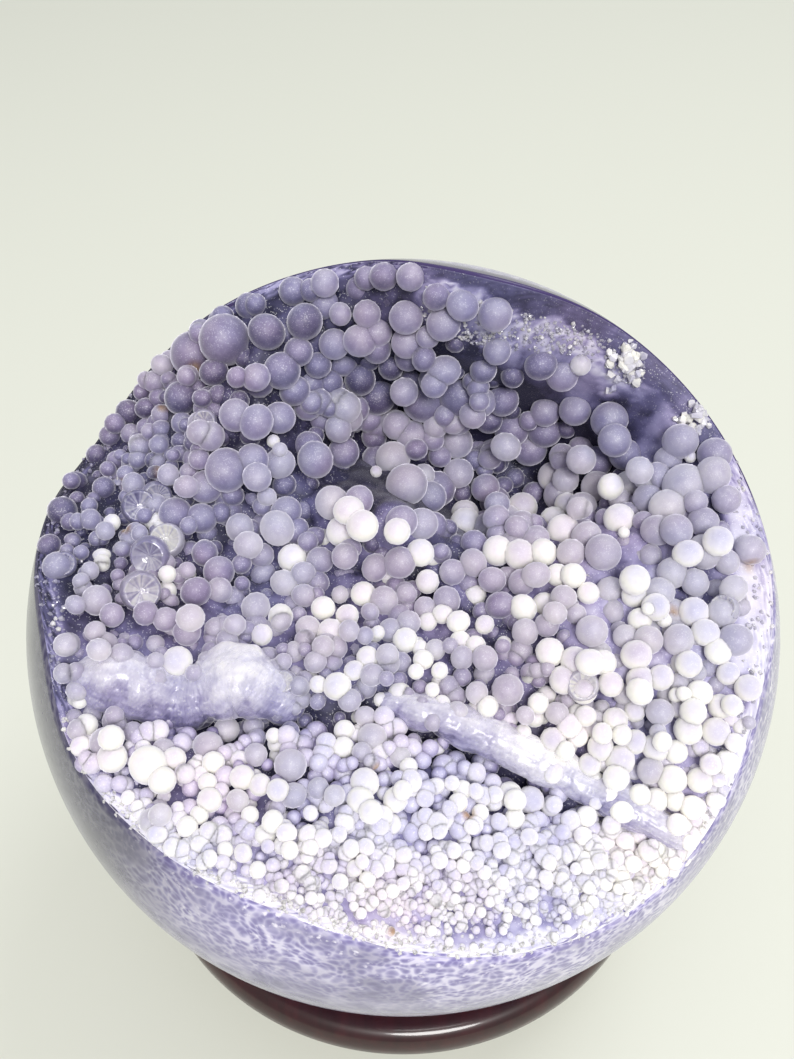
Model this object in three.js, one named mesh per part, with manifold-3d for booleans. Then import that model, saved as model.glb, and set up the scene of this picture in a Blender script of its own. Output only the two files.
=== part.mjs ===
// A polished ball of grape agate with a wide natural hollow, resting in a turned ring stand.
// Millimetres, +Z up; the viewer stands on the -Y side. The origin is the centre of the stand's underside.
import * as THREE from "three";
import { mergeVertices } from "three/addons/utils/BufferGeometryUtils.js";
import Module from "manifold-3d";

const wasm = await Module();
wasm.setup();

// Ball
const ballRadius = 45;
const ballCentreZ = 55;
const ballSegments = 40;
const ballRings = 20;

// Hollow. Its axis leans towards the viewer. Points of it are given as u (to the right), v (to the back)
// and h (height along the axis), all from the ball's centre.
const hollowLean = 24;
const hollowSegments = 32;
const hollowRings = 8;
const middleHeight = 25;
const dishDepth = 3;
const rimAngles = [
  // direction around the axis (0 right, 90 back, 270 front), angle of the rim from the axis
  [0, 62], [25, 62], [45, 57], [65, 46], [82, 45], [100, 55], [120, 60], [138, 73], [153, 78],
  [168, 68], [190, 56], [210, 57], [230, 54], [255, 52], [275, 57], [300, 63.5], [315, 64], [340, 59.5],
];
const pockets = [
  // a negative depth is a mound
  { u: 8, v: 18, alongU: 21, alongV: 10, turn: -8, depth: 17, edge: 2.0 },
  { u: -4, v: 4, alongU: 24, alongV: 13, turn: 0, depth: 6, edge: 1.5 },
  { u: -17, v: -15.5, alongU: 14, alongV: 3.2, turn: -3, depth: 4, edge: 1.0 },
  { u: 9, v: -19.5, alongU: 13, alongV: 3, turn: -22, depth: 3, edge: 1.0 },
  { u: -1.5, v: 12, alongU: 5.5, alongV: 6, turn: 0, depth: -9, edge: 1.0 },
  { u: -20, v: 20, alongU: 9, alongV: 9, turn: 0, depth: -4, edge: 1.0 },
];
const overhang = 0.25;
const overhangBelow = 22;

// Crust
const crustThickness = 2.4;
const crustGap = 0.4;
const smallestDetail = 0.18;
const lumpCount = 56;
const lumpRadiusFront = 2.5;
const lumpRadiusBack = 4.2;
const ridges = [
  { from: [-33, -12.9], to: [-11, -9.5], radius: 3.5 },
  { from: [-1.8, -12.2], to: [13.5, -18.8], radius: 1.9 },
  { from: [13.5, -18.8], to: [28.6, -28], radius: 1.9 },
];
const bunches = [
  // the bunches that stand out of the rest: middle of the hollow, back wall, left shoulder
  { u: -1.2, v: 15.5, radius: 3.2, rise: 0.6 },
  { u: 1.2, v: 12.5, radius: 3.4, rise: 0.6 },
  { u: -6.5, v: 8, radius: 3.8, rise: 0.4 },
  { u: 3, v: 23.5, radius: 3.6, rise: 0.2 },
  { u: 8, v: 23, radius: 3.4, rise: 0.2 },
  { u: 7, v: 17.5, radius: 2.8, rise: 0.6 },
  { u: 1, v: 30.5, radius: 3.8, rise: -0.6 },
  { u: -7.5, v: 33, radius: 3.6, rise: -0.8 },
  { u: -23, v: 30, radius: 4.6, rise: -1 },
  { u: -20.5, v: 24.5, radius: 4.4, rise: -0.8 },
];

// Stand: the turned section, radius and height, from the bore's foot round the outside to the seat
const standSegments = 38;
const seatGap = 0.3;
const boreRadius = 20.4;
const standOutside = [
  [boreRadius, 0], [34.4, 0], [35, 0.8], [35, 3], [33.4, 4.8], [33.2, 7.6], [34.8, 10.2],
  [37.6, 11.8], [38.9, 13.4], [39.1, 15.2], [38.5, 17], [37.2, 18],
];
const standTopInner = 26.2;
const standTopZ = 18;
const seatRadii = [25.2, 23.2, boreRadius];

const degrees = THREE.MathUtils.degToRad;
const fullTurn = Math.PI * 2;

function toManifold(geometry) {
  const plain = geometry.clone();
  plain.deleteAttribute("normal");
  plain.deleteAttribute("uv");
  const merged = mergeVertices(plain, 1e-4);
  const mesh = new wasm.Mesh({
    numProp: 3,
    vertProperties: new Float32Array(merged.attributes.position.array),
    triVerts: new Uint32Array(merged.index.array),
  });
  return new wasm.Manifold(mesh);
}

function toGeometry(solid) {
  const mesh = solid.getMesh();
  const geometry = new THREE.BufferGeometry();
  geometry.setAttribute("position", new THREE.BufferAttribute(new Float32Array(mesh.vertProperties), 3));
  geometry.setIndex(new THREE.BufferAttribute(new Uint32Array(mesh.triVerts), 1));
  geometry.computeVertexNormals();
  return geometry;
}

function toMesh(name, geometry, color, roughness, metalness) {
  const material = new THREE.MeshStandardMaterial({ color, roughness, metalness, flatShading: true });
  const mesh = new THREE.Mesh(geometry, material);
  mesh.name = name;
  return mesh;
}

// The rim's angle from the axis in any direction, a smooth curve through the named angles.
function rimAngle(direction) {
  const turn = THREE.MathUtils.euclideanModulo(direction, 360);
  const count = rimAngles.length;
  const next = rimAngles.findIndex(([at]) => at > turn);
  const i = next === -1 ? count - 1 : next - 1;
  const start = rimAngles[i][0];
  const end = rimAngles[(i + 1) % count][0] + (i === count - 1 ? 360 : 0);
  const s = (turn - start) / (end - start);
  const [a, b, c, d] = [-1, 0, 1, 2].map((step) => rimAngles[(i + step + count) % count][1]);
  const bend = 2 * a - 5 * b + 4 * c - d;
  const twist = 3 * b - a - 3 * c + d;
  return 0.5 * (2 * b + (c - a) * s + bend * s ** 2 + twist * s ** 3);
}

function rimRadius(direction) {
  return ballRadius * Math.sin(degrees(rimAngle(direction)));
}

// Height of the hollow's surface along the axis, before the crust's lumps.
function surfaceHeight(u, v) {
  const direction = THREE.MathUtils.radToDeg(Math.atan2(v, u));
  const share = Math.min(Math.hypot(u, v) / rimRadius(direction), 1);
  const rimHeight = ballRadius * Math.cos(degrees(rimAngle(direction)));
  let height = middleHeight + (rimHeight - middleHeight) * share ** 2;
  height -= dishDepth * (1 - share ** 3);
  for (const pocket of pockets) {
    const cos = Math.cos(degrees(pocket.turn));
    const sin = Math.sin(degrees(pocket.turn));
    const x = ((u - pocket.u) * cos + (v - pocket.v) * sin) / pocket.alongU;
    const y = ((v - pocket.v) * cos - (u - pocket.u) * sin) / pocket.alongV;
    const fade = Math.exp(-((x * x + y * y) ** pocket.edge));
    height -= pocket.depth * fade * (1 - share ** 8);
  }
  return height;
}

// How far the deep back wall of the hollow reaches back under its edge.
function undercut(u, v, h) {
  const below = Math.max(overhangBelow - h, 0);
  const across = Math.exp(-(((u - 10) / 22) ** 2));
  return overhang * below * across * THREE.MathUtils.clamp((v - 4) / 14, 0, 1);
}

// From u, v, h to the part's own frame.
function place(u, v, h) {
  const point = new THREE.Vector3(u, v, h);
  point.applyAxisAngle(new THREE.Vector3(1, 0, 0), degrees(hollowLean));
  point.z += ballCentreZ;
  return point;
}

function onSurface(u, v, lift) {
  const h = surfaceHeight(u, v);
  return place(u, v + undercut(u, v, h), h + lift);
}

// A point on the cone through the rim, at a share of the rim's angle and a distance from the centre.
function onCone(direction, share, distance) {
  const angle = degrees(rimAngle(direction)) * share;
  const across = distance * Math.sin(angle);
  const around = degrees(direction);
  return place(across * Math.cos(around), across * Math.sin(around), distance * Math.cos(angle));
}

// A closed body between the hollow's surface and a cap at `capDistance` from the ball's centre.
// It starts as a sphere: the half below its equator goes onto the surface.
function hollowBody(capDistance) {
  const geometry = new THREE.SphereGeometry(1, hollowSegments, hollowRings * 2);
  geometry.rotateX(Math.PI / 2);
  const position = geometry.attributes.position;
  const outermost = (hollowRings - 1) / hollowRings;
  for (let i = 0; i < position.count; i += 1) {
    const direction = THREE.MathUtils.radToDeg(Math.atan2(position.getY(i), position.getX(i)));
    const polar = Math.acos(THREE.MathUtils.clamp(position.getZ(i), -1, 1)) / (Math.PI / 2);
    let point = onCone(direction, Math.min(polar, 1), capDistance);
    if (polar > 1.001) {
      const share = Math.min((2 - polar) / outermost, 1);
      const rho = rimRadius(direction) * share;
      const around = degrees(direction);
      point = onSurface(rho * Math.cos(around), rho * Math.sin(around), 0);
    }
    position.setXYZ(i, point.x, point.y, point.z);
  }
  return geometry;
}

// The same body grown by `distance` all over, into the stone.
function grownBody(geometry, distance) {
  const plain = geometry.clone();
  plain.deleteAttribute("normal");
  plain.deleteAttribute("uv");
  const merged = mergeVertices(plain, 1e-4);
  merged.computeVertexNormals();
  const { position, normal } = merged.attributes;
  for (let i = 0; i < position.count; i += 1) {
    const point = new THREE.Vector3().fromBufferAttribute(position, i);
    point.addScaledVector(new THREE.Vector3().fromBufferAttribute(normal, i), distance);
    position.setXYZ(i, point.x, point.y, point.z);
  }
  return merged;
}

function fullBall(radius) {
  const geometry = new THREE.SphereGeometry(radius, ballSegments, ballRings);
  geometry.rotateX(Math.PI / 2);
  geometry.translate(0, 0, ballCentreZ);
  return toManifold(geometry);
}

// A round lump whose centre stands `rise` above the surface.
function lump(geometry, u, v, rise) {
  const centre = onSurface(u, v, rise);
  geometry.rotateZ(u * 1.7 + v * 0.6);
  geometry.translate(centre.x, centre.y, centre.z);
  return toManifold(geometry);
}

// Small bunches over the whole hollow on a sunflower pattern, smaller towards the front.
function scatteredLumps() {
  const goldenAngle = 137.508;
  const lumps = [];
  for (let i = 0; i < lumpCount; i += 1) {
    const direction = i * goldenAngle;
    const rho = rimRadius(direction) * 0.97 * Math.sqrt((i + 0.5) / lumpCount);
    const u = rho * Math.cos(degrees(direction));
    const v = rho * Math.sin(degrees(direction));
    const back = THREE.MathUtils.smoothstep(v, -34, 18);
    const swing = 1 + 0.16 * Math.sin(i * 2.3) + 0.08 * Math.sin(i * 5.1);
    const radius = THREE.MathUtils.lerp(lumpRadiusFront, lumpRadiusBack, back) * swing;
    lumps.push(lump(new THREE.DodecahedronGeometry(radius, 0), u, v, -0.15 * radius));
  }
  return lumps;
}

function ridgeBar({ from, to, radius }) {
  const start = onSurface(from[0], from[1], radius * 0.25);
  const end = onSurface(to[0], to[1], radius * 0.25);
  const along = new THREE.Vector3().subVectors(end, start);
  const geometry = new THREE.CapsuleGeometry(radius, along.length(), 2, 8, 1);
  const turn = new THREE.Quaternion().setFromUnitVectors(new THREE.Vector3(0, 1, 0), along.clone().normalize());
  geometry.applyQuaternion(turn);
  const middle = start.add(end).multiplyScalar(0.5);
  geometry.translate(middle.x, middle.y, middle.z);
  return toManifold(geometry);
}

function makeBall() {
  const hollow = grownBody(hollowBody(ballRadius * 1.2), crustThickness);
  return fullBall(ballRadius).subtract(toManifold(hollow));
}

function makeCrust() {
  const room = toManifold(grownBody(hollowBody(ballRadius * 1.2), crustThickness - crustGap));
  const above = toManifold(hollowBody(ballRadius * 1.4));
  let crust = room.subtract(above);
  for (const ridge of ridges) {
    crust = crust.add(ridgeBar(ridge));
  }
  for (const bunch of bunches) {
    crust = crust.add(lump(new THREE.IcosahedronGeometry(bunch.radius, 1), bunch.u, bunch.v, bunch.rise));
  }
  for (const small of scatteredLumps()) {
    crust = crust.add(small);
  }
  crust = crust.intersect(room).intersect(fullBall(ballRadius));
  const bodies = crust.decompose().sort((a, b) => b.volume() - a.volume());
  return bodies[0].simplify(smallestDetail);
}

// The seat follows the ball's underside at the gap.
function seatPoint(radius) {
  const onBall = ballCentreZ - Math.sqrt(ballRadius ** 2 - radius ** 2);
  const slope = radius / ballRadius;
  return [radius, onBall - seatGap / Math.sqrt(1 - slope ** 2)];
}

function makeStand() {
  const section = [...standOutside, [standTopInner, standTopZ], ...seatRadii.map(seatPoint), [boreRadius, 0]];
  const points = section.map(([radius, z]) => new THREE.Vector2(radius, z));
  const geometry = new THREE.LatheGeometry(points, standSegments, 0, fullTurn);
  geometry.rotateX(Math.PI / 2);
  return toManifold(geometry);
}

const group = new THREE.Group();
group.name = "grape_agate_sphere";
group.add(toMesh("ball", toGeometry(makeBall()), 0x6a6390, 0.18, 0));
group.add(toMesh("grape_crust", toGeometry(makeCrust()), 0xa9a3c6, 0.55, 0));
group.add(toMesh("ring_stand", toGeometry(makeStand()), 0x3f0a10, 0.2, 0));

export default group;
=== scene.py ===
import bpy
import bmesh
import math
import numpy as np
from mathutils import Matrix, Vector, noise
from mathutils.kdtree import KDTree


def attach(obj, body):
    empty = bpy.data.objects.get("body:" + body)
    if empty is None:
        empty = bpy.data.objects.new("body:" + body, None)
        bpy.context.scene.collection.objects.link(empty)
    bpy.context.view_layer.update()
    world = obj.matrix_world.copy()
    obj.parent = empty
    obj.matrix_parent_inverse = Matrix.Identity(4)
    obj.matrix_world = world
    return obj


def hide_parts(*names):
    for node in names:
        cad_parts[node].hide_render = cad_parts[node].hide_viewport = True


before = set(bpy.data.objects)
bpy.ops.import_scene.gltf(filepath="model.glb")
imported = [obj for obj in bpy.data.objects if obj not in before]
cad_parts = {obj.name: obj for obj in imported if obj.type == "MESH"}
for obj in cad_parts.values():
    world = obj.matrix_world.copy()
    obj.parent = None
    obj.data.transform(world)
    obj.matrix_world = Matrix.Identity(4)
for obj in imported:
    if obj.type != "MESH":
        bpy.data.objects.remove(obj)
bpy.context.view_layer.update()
scene = bpy.context.scene

# The hollow's shape, in millimetres from the ball's centre:
# u runs right, v to the back and h up along the hollow's axis, which leans to the front.
ball = {"radius": 45.0, "centreZ": 55.0, "lean": 24.0, "proud": 0.2}  # how far a grape may stand proud
hollow = {"middle": 25, "sag": 3}
# the rim's angle from the hollow's axis, by direction
rim = [(0, 62), (25, 62), (45, 57), (65, 46), (82, 45), (100, 55), (120, 60), (138, 73), (153, 78),
       (168, 68), (190, 56), (210, 57), (230, 54), (255, 52), (275, 57), (300, 63.5), (315, 64),
       (340, 59.5)]
pockets = [  # u, v, reach along u, reach along v, turn, depth, edge
    (8, 18, 21, 10, -8, 17, 2.0),
    (-4, 4, 24, 13, 0, 6, 1.5),
    (-17, -15.5, 14, 3.2, -3, 4, 1.0),
    (9, -19.5, 13, 3, -22, 3, 1.0),
    (-1.5, 12, 5.5, 6, 0, -9, 1.0),
    (-20, 20, 9, 9, 0, -4, 1.0),
]
# how the deep part runs on to the back, under the rim
undercut = {"share": 0.25, "below": 22, "u": 10, "reach": 22, "fromV": 4, "over": 14}

# the camera looks down into the hollow; the ball's centre falls low and a little right in the picture
view = {"elevation": 52.0, "distance": 128.1, "focal": 1000.0,
        "width": 794, "height": 1059, "centre": (402.5, 624.1)}


def curved(a, b, c, d, t):
    # a smooth way from b to c
    return 0.5 * (2 * b + (c - a) * t + (2 * a - 5 * b + 4 * c - d) * t**2 + (3 * b - a - 3 * c + d) * t**3)


def rimAngle(direction):
    at = np.mod(np.asarray(direction, float), 360)
    starts = np.array([r[0] for r in rim], float)
    angles = np.array([r[1] for r in rim], float)
    n = len(rim)
    i = np.searchsorted(starts, at, side="right") - 1
    length = np.where(i == n - 1, 360 + starts[0], starts[(i + 1) % n]) - starts[i]
    s = (at - starts[i]) / length
    return curved(*(angles[(i + k) % n] for k in (-1, 0, 1, 2)), s)


def rimShare(u, v):
    # 0 in the middle of the hollow, 1 at its rim
    angle = np.radians(rimAngle(np.degrees(np.arctan2(v, u))))
    return np.minimum(np.hypot(u, v) / (ball["radius"] * np.sin(angle)), 1), angle


def ovalReach(u, v, oval, wide=1.0, high=1.0):
    # squared distance from a turned oval's middle, 1 on its edge
    pu, pv, ru, rv, turn = oval[:5]
    c, s = math.cos(math.radians(turn)), math.sin(math.radians(turn))
    x = ((u - pu) * c + (v - pv) * s) / (wide * ru)
    y = ((v - pv) * c - (u - pu) * s) / (high * rv)
    return x * x + y * y


def surfaceHeight(u, v):
    share, angle = rimShare(u, v)
    middle, sag = hollow["middle"], hollow["sag"]
    h = middle + (ball["radius"] * np.cos(angle) - middle) * share**2 - sag * (1 - share**3)
    for *oval, depth, edge in pockets:
        h = h - depth * np.exp(-(ovalReach(u, v, oval) ** edge)) * (1 - share**8)
    return h


def place(u, v, h):
    # from the hollow's own directions to the part's
    lean = math.radians(ball["lean"])
    y = v * math.cos(lean) - h * math.sin(lean)
    z = v * math.sin(lean) + h * math.cos(lean) + ball["centreZ"]
    return np.stack([u + 0 * y, y, z], -1)


def onSurface(u, v, lift=0.0):
    u, v = np.asarray(u, float), np.asarray(v, float)
    h = surfaceHeight(u, v)
    deep = undercut["share"] * np.maximum(undercut["below"] - h, 0)
    near = np.exp(-(((u - undercut["u"]) / undercut["reach"]) ** 2))
    back = deep * near * np.clip((v - undercut["fromV"]) / undercut["over"], 0, 1)
    return place(u, v + back, h + lift)


def smooth(x):
    # a soft step from 0 to 1
    x = np.clip(x, 0, 1)
    return x * x * (3 - 2 * x)


def makeObject(name, points, faces, even=True):
    # points in millimetres
    mesh = bpy.data.meshes.new(name)
    mesh.from_pydata((np.asarray(points) / 1000).tolist(), [], faces)
    mesh.validate()
    mesh.update()
    if even:
        mesh.shade_smooth()
    obj = bpy.data.objects.new(name, mesh)
    scene.collection.objects.link(obj)
    return obj


def polarFaces(rings, around, first, last):
    # quads between the rings of a polar grid, closed by a fan at each end
    faces = []
    for r in range(rings - 1):
        for k in range(around):
            j = (k + 1) % around
            faces.append((r * around + k, r * around + j, (r + 1) * around + j, (r + 1) * around + k))
    for k in range(around):
        j = (k + 1) % around
        faces.append((first, j, k))
        faces.append((last, (rings - 1) * around + k, (rings - 1) * around + j))
    return faces


def addValues(mesh, name, values):
    layer = mesh.attributes.get(name) or mesh.attributes.new(name, "FLOAT", "POINT")
    layer.data.foreach_set("value", np.asarray(values, np.float32))


def meshPoints(mesh):
    flat = np.empty(len(mesh.vertices) * 3, np.float32)
    mesh.vertices.foreach_get("co", flat)
    return flat.reshape(-1, 3) * 1000.0


def dress(obj, node):
    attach(obj, "root")
    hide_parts(node)


def feed(tree, node, values):
    # each input gets a plain value, a link from an output, or a link from a node's first output
    for slot, value in values.items():
        if isinstance(value, bpy.types.Node):
            value = value.outputs[0]
        if isinstance(value, bpy.types.NodeSocket):
            tree.links.new(value, node.inputs[slot])
        else:
            node.inputs[slot].default_value = value


def addNode(tree, kind, at=(0, 0), **settings):
    # in_0 or in_Scale feeds that input, and any other setting is the node's own
    made = tree.nodes.new(kind)
    made.location = at
    for key, value in settings.items():
        if key.startswith("in_"):
            slot = key[3:]
            feed(tree, made, {int(slot) if slot.isdigit() else slot: value})
        else:
            setattr(made, key, value)
    return made


def maths(tree, at, operation, *values):
    made = addNode(tree, "ShaderNodeMath", at, operation=operation)
    feed(tree, made, dict(enumerate(values)))
    return made


def vectorMaths(tree, at, operation, *values):
    made = addNode(tree, "ShaderNodeVectorMath", at, operation=operation)
    feed(tree, made, dict(enumerate(values)))
    return made


def scaled(tree, at, vector, factor):
    return addNode(tree, "ShaderNodeVectorMath", at, operation="SCALE", in_0=vector, in_Scale=factor)


def mapRange(tree, at, value, fromLeast, fromMost, toLeast=0.0, toMost=1.0):
    return addNode(tree, "ShaderNodeMapRange", at, in_0=value, in_1=fromLeast, in_2=fromMost,
                   in_3=toLeast, in_4=toMost)


def mixed(tree, at, fac, first, second, blend="MIX"):
    # the color output of a mix
    mix = addNode(tree, "ShaderNodeMix", at, data_type="RGBA", blend_type=blend, in_0=fac,
                  in_6=first, in_7=second)
    return mix.outputs[2]


def colorRamp(tree, stops, at, fac):
    ramp = addNode(tree, "ShaderNodeValToRGB", at, in_Fac=fac)
    elements = ramp.color_ramp.elements
    elements[0].position, elements[0].color = stops[0][0], (*stops[0][1], 1)
    elements[1].position, elements[1].color = stops[-1][0], (*stops[-1][1], 1)
    for position, color in stops[1:-1]:
        elements.new(position).color = (*color, 1)
    return ramp


def newGroup(name, inputs, outputs):
    group = bpy.data.node_groups.new(name, "ShaderNodeTree")
    for side, sockets in (("INPUT", inputs), ("OUTPUT", outputs)):
        for label, kind, value in sockets:
            socket = group.interface.new_socket(label, in_out=side, socket_type="NodeSocket" + kind)
            if value is not None:
                socket.default_value = value
    given = addNode(group, "NodeGroupInput", (-1200, 0)).outputs
    return group, given, addNode(group, "NodeGroupOutput", (900, 0))


def newMaterial(name):
    mat = bpy.data.materials.new(name)
    mat.use_nodes = True
    return mat, mat.node_tree, mat.node_tree.nodes["Principled BSDF"]


def growthTintGroup():
    # the growth's colour from dark violet to near white, with pinkish clouds and rusty stains
    group, given, end = newGroup(
        "growthTint",
        [("Vector", "Vector", None), ("Tone", "Float", 0.5), ("Stain", "Float", 0.0),
         ("Blush", "Float", 0.5)],
        [("Color", "Color", None)],
    )
    cloud = addNode(group, "ShaderNodeTexNoise", (-950, 250), in_Scale=420.0, in_Detail=4.0, in_Roughness=0.6,
                    in_Vector=given["Vector"])
    shift = maths(group, (-750, 250), "MULTIPLY_ADD", cloud.outputs["Fac"], 0.34, -0.17)
    total = addNode(group, "ShaderNodeMath", (-570, 200), operation="ADD", use_clamp=True,
                    in_0=given["Tone"], in_1=shift)
    cool = colorRamp(group, growthColors["cool"], (-380, 300), total)
    warm = colorRamp(group, growthColors["warm"], (-380, 50), total)
    patch = addNode(group, "ShaderNodeTexNoise", (-950, -100), in_Scale=75.0, in_Detail=2.0,
                    in_Vector=given["Vector"])
    patchMask = mapRange(group, (-750, -100), patch.outputs["Fac"], 0.42, 0.62)
    blush = maths(group, (-570, -100), "MULTIPLY", patchMask, given["Blush"])
    both = mixed(group, (-60, 200), blush, cool.outputs["Color"], warm.outputs["Color"])
    rustNoise = addNode(group, "ShaderNodeTexNoise", (-950, -350), in_Scale=900.0, in_Detail=3.0,
                        in_Vector=given["Vector"])
    rust = colorRamp(group, growthColors["rust"], (-750, -350), rustNoise)
    stained = mixed(group, (250, 100), given["Stain"], both, rust.outputs["Color"])
    feed(group, end, {"Color": stained})
    return group


def frostGroup():
    # fine frost: a height for the bump and a mask of single glinting crystals
    group, given, end = newGroup(
        "frostAndGlint",
        [("Vector", "Vector", None), ("Scale", "Float", 3000.0), ("Share", "Float", 0.06)],
        [("Height", "Float", None), ("Glint", "Float", None)],
    )
    grain = addNode(group, "ShaderNodeTexNoise", (-850, 150), in_Detail=3.0, in_Roughness=0.65)
    crystals = addNode(group, "ShaderNodeTexVoronoi", (-850, -150), feature="F1")
    for each in (grain, crystals):
        feed(group, each, {"Vector": given["Vector"], "Scale": given["Scale"]})
    pick = addNode(group, "ShaderNodeSeparateColor", (-600, -250), in_0=crystals.outputs["Color"])
    few = maths(group, (-400, -250), "LESS_THAN", pick, given["Share"])
    level = maths(group, (-400, 50), "MULTIPLY_ADD", crystals.outputs["Distance"], -0.35,
                  grain.outputs["Fac"])
    feed(group, end, {"Height": level, "Glint": few})
    return group


growthColors = {
    "cool": [(0.0, (0.011, 0.011, 0.036)), (0.2, (0.095, 0.09, 0.20)), (0.4, (0.295, 0.28, 0.47)),
             (0.6, (0.54, 0.53, 0.67)), (0.8, (0.77, 0.755, 0.83)), (1.0, (0.96, 0.94, 0.87))],
    "warm": [(0.0, (0.020, 0.012, 0.036)), (0.2, (0.145, 0.105, 0.20)), (0.4, (0.41, 0.315, 0.47)),
             (0.6, (0.66, 0.575, 0.66)), (0.8, (0.87, 0.80, 0.81)), (1.0, (0.97, 0.93, 0.84))],
    "rust": [(0.3, (0.11, 0.045, 0.014)), (0.55, (0.36, 0.19, 0.05)), (0.75, (0.62, 0.47, 0.26))],
    # the specks' near white: painted glints on the frost crystals
    "frostAndGlint": (0.93, 0.93, 0.97, 1),
    "sheen": (0.92, 0.90, 1.0, 1.0),
}
growthTint = growthTintGroup()
frostAndGlint = frostGroup()


# what most kinds of the growth have alike: frost's grain and glints, white specks painted as glints, most on
# the side facing the opening, sheen and its edge, coat
plainLook = {"grain": 10500.0, "glints": 0.07, "speck": 0.3, "sheen": 1.0, "limb": 0.4, "coat": 0.0}


def growthMaterial(name, changes):
    look = {**plainLook, **changes}
    mat, tree, shader = newMaterial(name)
    lean = math.radians(ball["lean"])
    coords = addNode(tree, "ShaderNodeTexCoord", (-1100, -100))
    tone = addNode(tree, "ShaderNodeAttribute", (-1100, 250), attribute_name="tone")
    stain = addNode(tree, "ShaderNodeAttribute", (-1100, 80), attribute_name="stain")
    # painted light and shade by how far the normal turns towards the hollow's opening, which faces the lamps:
    # dark grapes are painted paler on the side facing it and darker on their flanks, pale ones darker there
    # and paler towards their edges
    facing = vectorMaths(tree, (-1300, 420), "DOT_PRODUCT", coords.outputs["Normal"],
                         (0, -math.sin(lean), math.cos(lean)))
    cap = mapRange(tree, (-1130, 420), facing.outputs["Value"], 0.35, 0.98, -look["cap"], look["cap"])
    shadingSign = mapRange(tree, (-1130, 620), tone.outputs["Fac"], 0.4, 0.72, 1.0, -1.0)
    capped = maths(tree, (-940, 380), "MULTIPLY_ADD", shadingSign, cap, tone.outputs["Fac"])
    tint = addNode(tree, "ShaderNodeGroup", (-750, 150), node_tree=growthTint, in_Blush=look["blush"],
                   in_Vector=coords.outputs["Object"], in_Tone=capped, in_Stain=stain.outputs["Fac"])
    grainAndGlints = addNode(tree, "ShaderNodeGroup", (-750, -250), node_tree=frostAndGlint, in_Scale=look["grain"],
                   in_Share=look["glints"], in_Vector=coords.outputs["Object"])
    # white specks painted into the colour as glints on the frost, more of them on the side facing the opening
    capSpecks = mapRange(tree, (-700, -30), facing.outputs["Value"], 0.5, 0.95, 0.25 * look["speck"],
                         look["speck"])
    glintSpecks = maths(tree, (-500, 0), "MULTIPLY", grainAndGlints.outputs["Glint"], capSpecks)
    glintSpeckled = mixed(tree, (-250, 150), glintSpecks, tint.outputs["Color"], growthColors["frostAndGlint"])
    bump = addNode(tree, "ShaderNodeBump", (-300, -350), in_Strength=look["relief"], in_Distance=0.00008,
                   in_Height=grainAndGlints.outputs["Height"])
    gloss = mapRange(tree, (-450, -150), grainAndGlints.outputs["Glint"], 0.0, 1.0, look["roughness"],
                     look["roughness"] * 0.7)
    feed(tree, shader, {
        "Base Color": glintSpeckled, "Roughness": gloss, "Normal": bump, "IOR": 1.4,
        "Subsurface Weight": look["milk"], "Subsurface Radius": (1.0, 0.98, 1.06),
        "Subsurface Scale": look["depth"],
        "Sheen Weight": look["sheen"], "Sheen Roughness": look["limb"], "Sheen Tint": growthColors["sheen"],
        "Transmission Weight": look["clear"], "Coat Weight": look["coat"], "Coat Roughness": 0.12,
    })
    return mat


grapeStone = growthMaterial("grapeStone", {
    "blush": 0.65, "glints": 0.10, "speck": 0.42, "relief": 0.3, "roughness": 0.42,
    "clear": 0.34, "milk": 0.6, "depth": 0.0011, "cap": 0.07,
})
whiteStone = growthMaterial("whiteStone", {
    "blush": 0.7, "relief": 0.25, "roughness": 0.5, "clear": 0.14, "milk": 0.75, "depth": 0.0009, "cap": 0.17,
})
fineStone = growthMaterial("fineStone", {
    "blush": 0.7, "relief": 0.25, "roughness": 0.45,
    "clear": 0.0, "milk": 0.7, "depth": 0.0007, "sheen": 0.5, "cap": 0.13,
})
bedStone = growthMaterial("bedStone", {
    "blush": 0.4, "grain": 9000.0, "glints": 0.05, "relief": 0.6, "roughness": 0.42,
    "clear": 0.0, "milk": 0.2, "depth": 0.0006, "sheen": 0.2, "cap": 0.04,
})
ridgeStone = growthMaterial("ridgeStone", {
    "blush": 0.25, "grain": 5200.0, "glints": 0.08, "relief": 0.5, "roughness": 0.32,
    "clear": 0.25, "milk": 0.35, "depth": 0.0010, "sheen": 0.5, "coat": 0.4, "cap": 0.02,
})
glassyStone = growthMaterial("glassyStone", {
    "blush": 0.3, "grain": 1800.0, "glints": 0.25, "speck": 0.25, "relief": 0.8, "roughness": 0.2,
    "clear": 0.45, "milk": 0.3, "depth": 0.001, "sheen": 0.3, "limb": 0.3, "coat": 0.8, "cap": 0.0,
})
crystalStone = growthMaterial("crystalStone", {
    "blush": 0.2, "grain": 2400.0, "glints": 0.1, "speck": 0.2, "relief": 0.2, "roughness": 0.08,
    "clear": 0.25, "milk": 0.3, "depth": 0.0003, "sheen": 0.0, "limb": 0.3, "coat": 1.0, "cap": 0.0,
})

skinColors = {
    "small": [(0.0, (0.17, 0.145, 0.33)), (0.30, (0.215, 0.19, 0.39)), (0.52, (0.37, 0.345, 0.55)),
              (0.72, (0.60, 0.57, 0.72))],
    "large": [(0.0, (0.08, 0.07, 0.19)), (0.35, (0.13, 0.115, 0.27)), (0.55, (0.24, 0.22, 0.38)),
              (0.75, (0.40, 0.38, 0.53))],
    "cloud": [(0.32, (0.11, 0.10, 0.20)), (0.5, (0.28, 0.26, 0.41)), (0.68, (0.52, 0.49, 0.63))],
    "ring": (0.33, 0.31, 0.46, 1),
    "fleck": (0.78, 0.75, 0.84, 1),
    "darkBand": (0.045, 0.03, 0.11, 1),
    "greyBand": (0.20, 0.20, 0.22, 1),
}


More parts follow.
